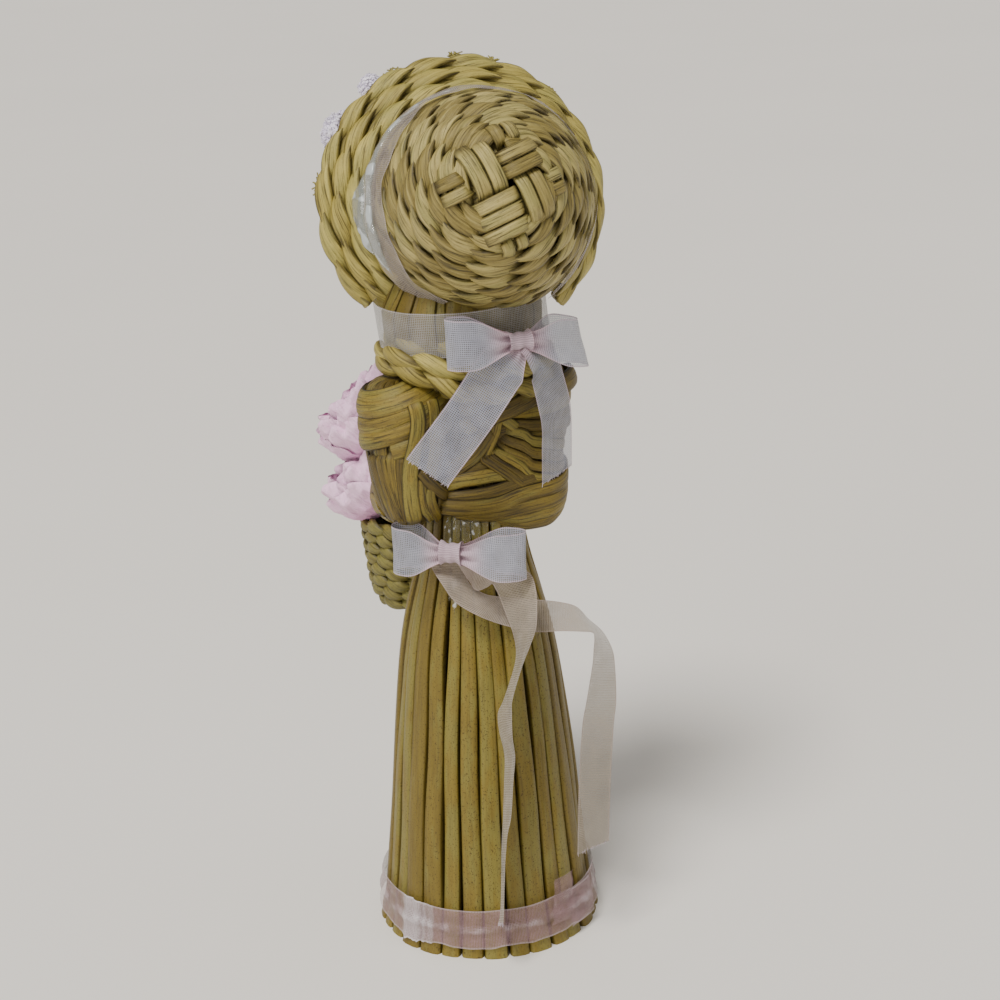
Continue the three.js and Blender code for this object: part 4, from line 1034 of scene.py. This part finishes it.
class Bow:
    """A tied bow: x across it, y away from the doll, z along the ribbon's width."""

    def __init__(self, name, place, turn, rests_on):
        self.name, self.rests_on = name, rests_on
        self.place = np.array(place, float)
        self.across = np.array([math.cos(turn), math.sin(turn), 0])
        self.away = np.array([-math.sin(turn), math.cos(turn), 0])

    def points(self, x, y, z):
        x, y, z = np.broadcast_arrays(x, y, z)
        up = np.array([0, 0, 1.0])
        return self.place + x[..., None] * self.across + y[..., None] * self.away + z[..., None] * up

    def loop(self, side, length, droop, skew, seed):
        """Ribbon from the knot out to the fold and back, narrow at the knot. skew leans the fold."""
        round_way = np.linspace(0.25, math.tau - 0.25, 64)[:, None]
        across = np.linspace(-0.5, 0.5, 17)[None, :]
        root = 1.2
        x = root + (length - root) * (1 - np.cos(round_way)) / 2
        open_share = smoothstep(x, root, 0.72 * length)
        y = -3.0 * np.sin(round_way) * np.sin(round_way / 2) ** 0.7
        pleats = 0.7 * np.cos(across * math.tau * 2 + 0.6 * side) * (1 - open_share) ** 1.5
        crumple = 0.4 * open_share * waves(seed, 0.3, across + 0.15 * round_way)
        width = RIBBON_WIDTH * (0.36 + 0.64 * open_share)
        edge = 0.25 * waves(seed + 1, 1.6, round_way) * (np.abs(across) * 2) ** 2 * open_share
        z = across * width + droop * (x / length) ** 1.4 + edge
        grid = self.points(side * x * (1 - skew * across * open_share), y + pleats + crumple, z)
        return grid, ribbon_weave(across, lengths(grid[:, 8]))

    def knot(self, half, deep, high):
        """Smooth turn of ribbon round the middle, a little wider at both ends."""
        round_way = np.linspace(0, math.tau, 44)[:, None]
        x = np.linspace(-half, half, 25)[None, :]
        flare = 1 + 0.25 * (x / half) ** 2
        fold = 0.16 * np.cos(math.tau * x / half + 0.8 * np.sin(round_way))
        y = (deep * flare + fold) * np.cos(round_way)
        z = (high * flare + fold) * np.sin(round_way)
        grid = self.points(x, y, z)
        weave = np.stack(np.broadcast_arrays(x * 2, round_way * high), axis=-1)
        return grid, weave

    def make(self, loops, knot, seed):
        """loops gives length, droop and skew on the left and on the right."""
        left, right = loops
        grids = [self.loop(1, *left, seed), self.loop(-1, *right, seed + 7), self.knot(*knot)]
        flat = (RIBBON_WIDTH * MM, (2.15 * (left[0] + right[0]) + 5) * MM)
        nodes = [self.name, self.name + "_knot"]
        cloth(self.name + "_ribbon", grids, RIBBON, "ribbon", nodes)


def frayed(threads, grid):
    """Loose threads along the cut end of a ribbon."""
    edge, inner = grid[-1], grid[-2]
    for share in threads.rng.uniform(0, len(edge) - 1.01, 26):
        k = int(share)
        f = share - k
        start = edge[k] * (1 - f) + edge[k + 1] * f
        way = unit(edge[k] - inner[k]) + threads.rng.normal(0, 0.22, 3)
        reach = threads.rng.uniform(0.15, 1) * 0.45
        threads.add([start - way * 0.3, start + way * reach * 0.5, start + way * reach], [0, 1, 0], 0.11)


NECK_BOW = Bow("neck_bow", (-4.9, 16.9, 131.2), 0, ["neck_ribbon"])
WAIST_PLACE = (WAIST_R * math.cos(WAIST_ANGLE), WAIST_R * math.sin(WAIST_ANGLE), WAIST_Z)
WAIST_BOW = Bow("waist_bow", WAIST_PLACE, WAIST_ANGLE - math.pi / 2, ["waist_glue"])
# The waist tails from the knot down. A row has two points across the ribbon in millimetres, or two marks
# across it in the photograph's pixels, with the ribbon's width there and the first mark's place. A place
# above zero is a distance off the skirt. One below zero is a distance from the skirt's axis, towards the
# camera.
TAIL_DOWN = [
    ((8.8, 12.6, 86.6), (8.6, 12.8, 89.4)),
    ((469.0, 580.9), (473.4, 556.8), 5, 1.6),
    ((476.8, 590.4), (487.1, 559.4), 6, 2.0),
    ((487.1, 587.0), (506.0, 562.9), 6.2, 2.4),
    ((492.3, 584.0), (520.7, 566.7), 7, 2.8),
    ((495.4, 588.7), (531.9, 575.8), 8, 3.6),
    ((498.8, 596.4), (536.1, 589.5), 8.5, 4.2),
    ((504.3, 610.2), (537.0, 605.0), 8.8, 4.8),
    ((511.2, 627.4), (536.2, 627.4), 8.8, 4.8),
    ((515.5, 642.9), (530.2, 646.3), 8.8, 3.6),
    ((516.0, 656.7), (525.0, 658.4), 8.8, 2.2),
    ((512.9, 672.2), (520.2, 673.1), 8.8, 1.8),
    ((503.5, 699.9), (512.9, 699.9), 8.8, 1.6),
    ((498.2, 713.6), (511.8, 713.6), 8.8, 1.4),
    ((499.4, 731.8), (512.7, 737.3), 8.8, 1.4),
    ((504.9, 755.5), (515.5, 757.3), 8.8, 1.4),
    ((504.2, 780.9), (513.6, 781.0), 8.8, 1.4),
    ((503.3, 817.2), (511.4, 817.3), 8.8, 1.4),
    ((501.8, 844.6), (506.4, 844.5), 8.8, 1.4),
    ((501.3, 904.5), (504.2, 904.5), 8.8, 1.6),
    ((498.7, 924.5), (503.6, 924.5), 8.8, 2.0),
]
TAIL_ROUND = [
    ((8.0, 12.8, 88.6), (10.6, 12.9, 88.6)),
    ((6.0, 10.9, 84.3), (12.5, 8.6, 84.9)),
    ((469.0, 582.7), (442.4, 586.1), 7, 0.6),
    ((483.7, 593.0), (456.2, 603.3), 7, 0.6),
    ((498.3, 596.4), (480.2, 617.1), 7, 0.6),
    ((519.8, 598.5), (507.8, 626.6), 7, 0.6),
    ((-9.2, 11.6, 74.4), (-6.4, 17.8, 69.9)),
    ((559.4, 601.6), (561.1, 631.7), 7.8, -9),
    ((576.6, 606.7), (581.8, 632.3), 8.4, -10),
    ((588.7, 618.8), (592.1, 633.5), 8.8, -11),
    ((602.5, 630.9), (593.8, 637.8), 9, -12),
    ((612.0, 648.1), (593.2, 648.1), 9, -12.5),
    ((615.4, 665.4), (591.8, 665.3), 9, -13),
    ((616.3, 699.9), (586.1, 699.9), 9, -14),
    ((613.7, 726.4), (581.8, 726.4), 9, -15),
    ((610.9, 780.9), (578.5, 780.9), 9, -16.5),
    ((609.0, 840.9), (577.2, 854.5), 9, -18),
]


def across_tail(first, second, width, place):
    """Two points across a tail under two marks, to a tenth of a millimetre. The second is the nearer one."""
    away = np.array(place)
    if place > 0:
        tries = np.arange(-45, 20, 0.1)
        line = seen(first, tries)
        radii, heights = np.transpose(SKIRT_LINE)
        skirt = SKIRT_SWELL * np.interp(line[:, 2], heights, radii)
        away = tries[np.argmax(np.hypot(line[:, 0], line[:, 1]) < skirt + place)]
    start = seen(first, away)
    line = seen(second, away - np.arange(0, RIBBON_WIDTH, 0.05))
    end = line[np.argmax(np.linalg.norm(line - start, axis=1) >= width)]
    return np.round(start, 1), np.round(end, 1)


def hanging_tail(rows, count, seed):
    """Grid and weave of a ribbon between its two edges, a little wavy across."""
    edges = [across_tail(*row_marks) if len(row_marks) > 2 else row_marks for row_marks in rows]
    both = spline(np.array(edges).reshape(-1, 6), count)
    first, second = both[:, :3], both[:, 3:]
    across = np.linspace(0, 1, RIBBON_COLUMNS)
    grid = first[:, None] + (second - first)[:, None] * across[None, :, None]
    middle = grid[:, RIBBON_COLUMNS // 2]
    reach = lengths(middle)
    out = unit(np.cross(np.gradient(middle, axis=0), second - first))
    sway = 0.3 * waves(seed, 6.0, reach)[:, None] * np.sin(math.pi * across)
    billow = sway + 0.2 * waves(seed + 1, 0.2, across)
    return grid + out[:, None, :] * billow[..., None], ribbon_weave(across - 0.5, reach)


def bows():
    NECK_BOW.make(((14.8, 1.0, 0.0), (13.6, -2.0, 0.16)), (2.4, 1.9, 1.6), 71)
    WAIST_BOW.make(((12.4, 0.3, 0.0), (15.5, 0.6, 0.0)), (2.2, 1.5, 2.0), 81)
    left = [(-4.4, 17.2, 130), (-3.4, 17.8, 128.6), (0, 18.1, 125.5), (5.6, 17.4, 118), (14.2, 14.4, 106.2)]
    right = [(-6, 17.2, 130), (-7.6, 17.8, 128.4), (-9.8, 17.6, 125.6)]
    right += [(-11.6, 17, 119), (-13, 15.8, 112), (-13.7, 13.8, 101.4)]
    tails = []
    for points, side, seed in ((left, [0.75, -0.3, 0.58], 91), (right, [0.85, 0.53, 0.1], 95)):
        path = spline(points, 60)
        width = 4.5 + (RIBBON_WIDTH - 4.5) * smoothstep(lengths(path), 0, 5)
        tails.append(tail_grid(path, side, width, seed))
    cloth("neck_tails_ribbon", tails, RIBBON, "ribbon", ["neck_bow_tails"])
    for name, rows, count, seed in (("down", TAIL_DOWN, 150, 101), ("round", TAIL_ROUND, 170, 105)):
        tail = hanging_tail(rows, count, seed)
        made, nodes = "tail_%s_ribbon" % name, ["waist_tail_" + name]
        cloth(made, [tail], TAIL_RIBBON, "ribbon", nodes)
        tails.append(tail)
    threads = Strands(90)
    for grid, _ in tails:
        frayed(threads, grid)
    threads.make("ribbon_threads", THREAD, "ribbon", thickness=1.0, facets=4)


def ring_grid(point, turns):
    """Grid and weave of a ribbon round the doll. point takes an angle and a share of the width."""
    shares = np.linspace(0, 1, RIBBON_COLUMNS)
    angle, share = np.broadcast_arrays(np.asarray(turns)[:, None], shares[None, :])
    grid = point(angle, share)
    return grid, ribbon_weave(share - 0.5, lengths(grid[:, RIBBON_COLUMNS // 2]))


def band_point(angle, share):
    """Crumpled gauze in the groove between crown and brim."""
    level = np.arcsin((-0.6 + (8.6 + 0.8 * waves(110, 0.3, angle)) * share) / CROWN_H)
    crumple = 0.4 * waves(111, 0.16, angle + 0.5 * share) + 0.35 * waves(112, 0.12, share + 0.4 * angle)
    return crown_point(level, angle, 2.15 - 0.85 * share + 0.75 * crumple * (0.5 + 0.5 * share))[0]


def collar_point(angle, share):
    grow = 1.04 + 0.02 * waves(113, 0.2, angle) + 0.06 * share * np.sin(angle)
    x = ROPE_HALF_WIDTH * grow * np.sin(angle)
    y = ROPE_HALF_DEPTH * grow * np.cos(angle)
    z = COLLAR_FOOT + (COLLAR_HEIGHT - 0.4 * np.sin(angle)) * share + 0.35 * waves(114, 0.5, angle)
    return xyz(x, y, z)


def white_fold(angle):
    """How near an angle is to the crumpled white fold of the hem."""
    away = np.degrees(angle) - HEM_FOLD + 4 * waves(118, 0.03, angle)
    return np.exp(-((away / HEM_FOLD_HALF) ** 2))


def hem_point(angle, share, lift=0.0):
    z = HEM_BOTTOM + HEM_WIDTH * share
    lap = smoothstep(angle, HEM_JOIN + math.tau, HEM_JOIN + math.tau + 0.06)
    pleat = 0.22 * waves(115, 0.11, angle) * (0.35 + np.sin(math.pi * share))
    bend = math.tau * (share * 2.2 + 0.12 * waves(116, 0.5, angle))
    tucks = 0.3 * np.cos(bend) * np.sin(math.pi * share)
    folds = white_fold(angle) * (0.3 + 0.35 * waves(120, 0.03, angle + 0.05 * share))
    r = skirt_outer(z) + 0.95 + pleat + tucks + folds + 0.5 * lap + lift
    drop = 0.35 * waves(119, 0.12, angle) - 1.3 * white_fold(angle)
    edge = 0.3 * waves(117, 0.3, angle) + drop * (1 - share) ** 2
    return round_axis(angle, r, z + edge)


def hem_flap_point(angle, share):
    """The hem ribbon's loose corner, which stands up past its upper edge."""
    return hem_point(angle + 0.08 * share, 0.3 + 1.2 * share, 0.4)


def ribbon_rings():
    ring = ring_grid(band_point, np.radians(np.linspace(-BAND_REACH, BAND_REACH, 260)))
    cloth("hat_band_ribbon", [ring], GAUZE, "ribbon", ["hat_band"])
    ring = ring_grid(collar_point, np.linspace(-math.pi, math.pi, 200))
    cloth("neck_ribbon_cloth", [ring], COLLAR, "ribbon", ["neck_ribbon"])
    turns = np.linspace(HEM_JOIN, HEM_JOIN + math.tau + 0.35, 900)
    ring = (*ring_grid(hem_point, turns), 0.85 * white_fold(turns))
    corner, weave = ring_grid(hem_flap_point, np.linspace(HEM_JOIN - math.radians(14), HEM_JOIN, 24))
    grids = [ring, (corner, weave * 0.88)]
    cloth("hem_ribbon_cloth", grids, HEM_CLOTH, "ribbon", ["hem_ribbon"])


# Flowers and tufts


def petal(centre, frame_of, turn, spread, size, lean, seed):
    """Cupped, crumpled petal from the flower's foot to its round rim."""
    v = np.linspace(-1, 1, 31)[None, :]
    u = np.linspace(0, 1, 30)[:, None] * np.sqrt(1 - 0.6 * v**2)
    marks = [0, 0.25, 0.5, 0.75, 0.92, 1]
    out = np.interp(u, marks, [0.2, 0.64, 0.92, 1.02, 0.97, 0.86]) * lean
    along = np.interp(u, marks, [-0.8, -0.6, -0.28, 0.1, 0.32, 0.38])
    a = turn + spread * v * (0.5 + 0.5 * smoothstep(u, 0, 0.45))
    fold = waves(seed, 0.16, v + 0.7 * u) + waves(seed + 1, 0.12, u - 0.5 * v)
    crumple = 0.055 * fold * smoothstep(u, 0.1, 0.4)
    rim = 0.09 * smoothstep(u, 0.6, 1) * waves(seed + 2, 0.14, v)
    r = size * (out + crumple + rim)
    height = size * (along + 0.6 * crumple + 0.5 * rim)
    local = xyz(r * np.cos(a), r * np.sin(a), height)
    weave = np.stack(np.broadcast_arrays(v * size * 0.8, u * size * 1.7), axis=-1)
    return centre + local @ frame_of.T, weave


# Place off the basket's axis, size and seed of each flower
FLOWERS = {
    "flower_upper": ((8.7, -5.5, 107.4), 10.8, 121),
    "flower_lower_left": ((8.6, -4.8, 93.6), 10.4, 131),
    "flower_lower_right": ((-8, -4.8, 95), 9.3, 141),
}
# Petals of a flower from the outside in: how many, how far they lean out, their size and their rise
PETAL_LAYERS = ((7, 1.14, 0.96, -2.6), (6, 1.0, 1.0, 0), (5, 0.76, 1.0, 0.6), (3, 0.45, 0.95, 1.2))


def flowers():
    for name, ((x, y, z), size, seed) in FLOWERS.items():
        centre = np.array([BASKET_X + x, BASKET_Y + y, z])
        facing = unit([x, y, size])
        side = unit(np.cross([0, 1.0, 0], facing))
        frame_of = np.column_stack([side, np.cross(facing, side), facing])
        grids = []
        for layer, (count, lean, share, rise) in enumerate(PETAL_LAYERS):
            lifted = centre + facing * rise
            spread = 1.3 * math.pi / count
            for number in range(count):
                turn = math.tau * (number + 0.4 * layer) / count
                own = seed + 10 * layer + number
                grids.append(petal(lifted, frame_of, turn, spread, size * share, lean, own))
        cloth(name + "_petals", grids, PAPER, "crepe_paper", [name])


def tufts():
    for name, degrees, stretch, seed in (("upper", -31, 1.0, 151), ("lower", -52.5, 1.6, 152)):
        threads = Strands(seed)
        edge = brim_point(np.radians([degrees - 3, degrees, degrees + 3]), 15.6, -1.6)
        along = unit(edge[2] - edge[0])
        for way in unit(threads.rng.normal(0, 1, (900, 3))):
            way = way + along * (way @ along) * (stretch - 1)
            reach = threads.rng.uniform(1.9, 2.5)
            bend = threads.rng.normal(0, 0.3, 3)
            straight = edge[1] + np.outer(np.linspace(0.1, 1, 5) * reach, way)
            path = straight + np.outer(np.linspace(0, 1, 5) ** 2, bend)
            threads.add(path, np.cross(way, [0.3, 0.5, 0.8]), 0.75)
        made = "brim_blossom_" + name
        threads.make(made + "_tuft", TUFT_THREAD, "blossom_cloth", made, thickness=0.8, facets=5)


# Glue


# Beads by the degrees where they start and end, how far out they lie, and their width
CROWN_BEADS = ((-20, -80, 1.7, 2.4), (-56, -124, 1.9, 3.6), (-4, -24, 1.7, 1.6))
BRIM_BEADS = ((-62, -116, 2.2, 4.2), (-70, -104, 3.6, 3.4))
# Streaks by their angle, their lower and upper end, and their width
WAIST_STREAKS = (
    (41, 85, 94, 1.8),
    (49, 86, 95.5, 2.1),
    (57, 86, 96, 2.2),
    (65, 87, 96, 2.1),
    (74, 88, 95.5, 2.0),
    (83, 89, 95, 1.7),
    (92, 90, 95, 1.3),
    (52, 74, 84, 1.9),
    (46, 76, 83, 1.3),
)
BEAD_STEPS = 120


def tapered(run):
    """Share of its full width along a bead that narrows over a run of steps at both ends."""
    step = np.arange(BEAD_STEPS)
    return smoothstep(np.minimum(step, BEAD_STEPS - 1 - step), -1, run)


def hat_glue():
    bead = Strands(161)
    for number, (low, high, out, wide) in enumerate(CROWN_BEADS):
        angle = np.radians(np.linspace(low, high, BEAD_STEPS))
        level = 0.06 + 0.02 * waves(160 + number, 0.2, angle)
        path, way = crown_point(level, angle, out + 0.2 * waves(165 + number, 0.12, angle))
        bead.add(path, way, wide * (1 + 0.3 * waves(170 + number, 0.1, angle)) * tapered(22))
    for number, (low, high, out, wide) in enumerate(BRIM_BEADS):
        angle = np.radians(np.linspace(low, high, BEAD_STEPS))
        over = 0.9 + 0.2 * waves(177 + number, 0.15, angle)
        path = brim_point(angle, out + 0.3 * waves(175 + number, 0.2, angle), over)
        width = wide * (1 + 0.2 * waves(179 + number, 0.1, angle)) * tapered(30)
        bead.add(path, brim_over(angle, 2.0), width)
    bead.make("hat_glue_bead", GLUE_BEAD, "glue", "hat_glue", thickness=0.42, facets=16)


def waist_glue():
    patch = Strands(162)
    for angle, low, high, wide in WAIST_STREAKS:
        z = np.linspace(low, high, 40)
        turn = np.radians(angle + 1.2 * waves(angle, 3.0, z))
        ends = smoothstep(np.minimum(z - low, high - z), 0, 3.5)
        path = round_axis(turn, skirt_outer(z) + 0.1 + 0.15 * waves(angle + 2, 1.4, z), z)
        width = wide * ends * (1 + 0.2 * waves(angle + 1, 1.2, z)) + 0.05
        patch.add(path, round_axis(turn, 1, 0), width)
    patch.make("waist_glue_film", GLUE_FILM, "glue", "waist_glue", thickness=0.4, facets=14)


skirt_stems()
inner_stems()
back_strips()
yoke()
shoulder_ropes()
crown()
brim()
arms()
basket()
head()
bows()
ribbon_rings()
flowers()
tufts()
hat_glue()
waist_glue()


# Floor, light and camera


def floor():
    material, shader, start = new_material("pale floor")
    place = start.node("TexCoord", None, 3)
    cloud = start.node("TexNoise", Vector=place, Scale=6.0, Detail=2.0)
    feed(start, shader, Base__Color=cloud.between(tint("eeeae3"), tint("f3efe8")), Roughness=0.55)
    mesh = bpy.data.meshes.new("floor")
    size = 8
    corners = [(-size, -size, 0), (size, -size, 0), (size, size, 0), (-size, size, 0)]
    mesh.from_pydata(corners, [], [(0, 1, 2, 3)])
    mesh.materials.append(material)
    placed("floor", mesh)


DOLL_MIDDLE = Vector((0, 0, 0.09))


def light(name, kind, strength, colour, toward):
    """A light that shines along a direction."""
    made = bpy.data.lights.new(name, kind)
    made.energy = strength
    made.color = colour
    piece = placed(name, made)
    piece.rotation_euler = toward.to_track_quat("-Z", "Y").to_euler()
    return piece


def lamp(name, place, power, size, colour):
    """A square lamp that looks at the doll's middle."""
    piece = light(name, "AREA", power, colour, DOLL_MIDDLE - Vector(place))
    piece.location = place
    piece.data.size = size


def sun(name, way, strength, softness, colour):
    piece = light(name, "SUN", strength, colour, -Vector(way))
    piece.data.angle = math.radians(softness)


def studio():
    floor()
    sun("key", (0.4, 0.35, 1.0), 3.1, 18, (1.0, 0.97, 0.93))
    lamp("side", (0.75, 0.45, 0.45), 2.2, 0.4, (1.0, 0.98, 0.95))
    lamp("fill", (-0.8, 0.5, 0.3), 0.8, 0.6, (0.93, 0.96, 1.0))
    world = bpy.data.worlds.new("studio")
    world.use_nodes = True
    sky = world.node_tree.nodes["Background"]
    sky.inputs["Color"].default_value = (0.78, 0.76, 0.73, 1)
    sky.inputs["Strength"].default_value = 0.48
    bpy.context.scene.world = world


def camera():
    """Where the photograph was taken from."""
    lens = bpy.data.cameras.new("camera")
    lens.sensor_width = 36
    lens.lens = lens.sensor_width * FOCAL_PX / PICTURE_PX
    lens.clip_start = 0.01
    piece = placed("camera", lens)
    turn = Matrix((PICTURE_RIGHT, PICTURE_UP, -CAMERA_AHEAD)).transposed().to_4x4()
    piece.matrix_world = Matrix.Translation(Vector(row(CAMERA_PLACE))) @ turn
    bpy.context.scene.camera = piece


studio()
camera()
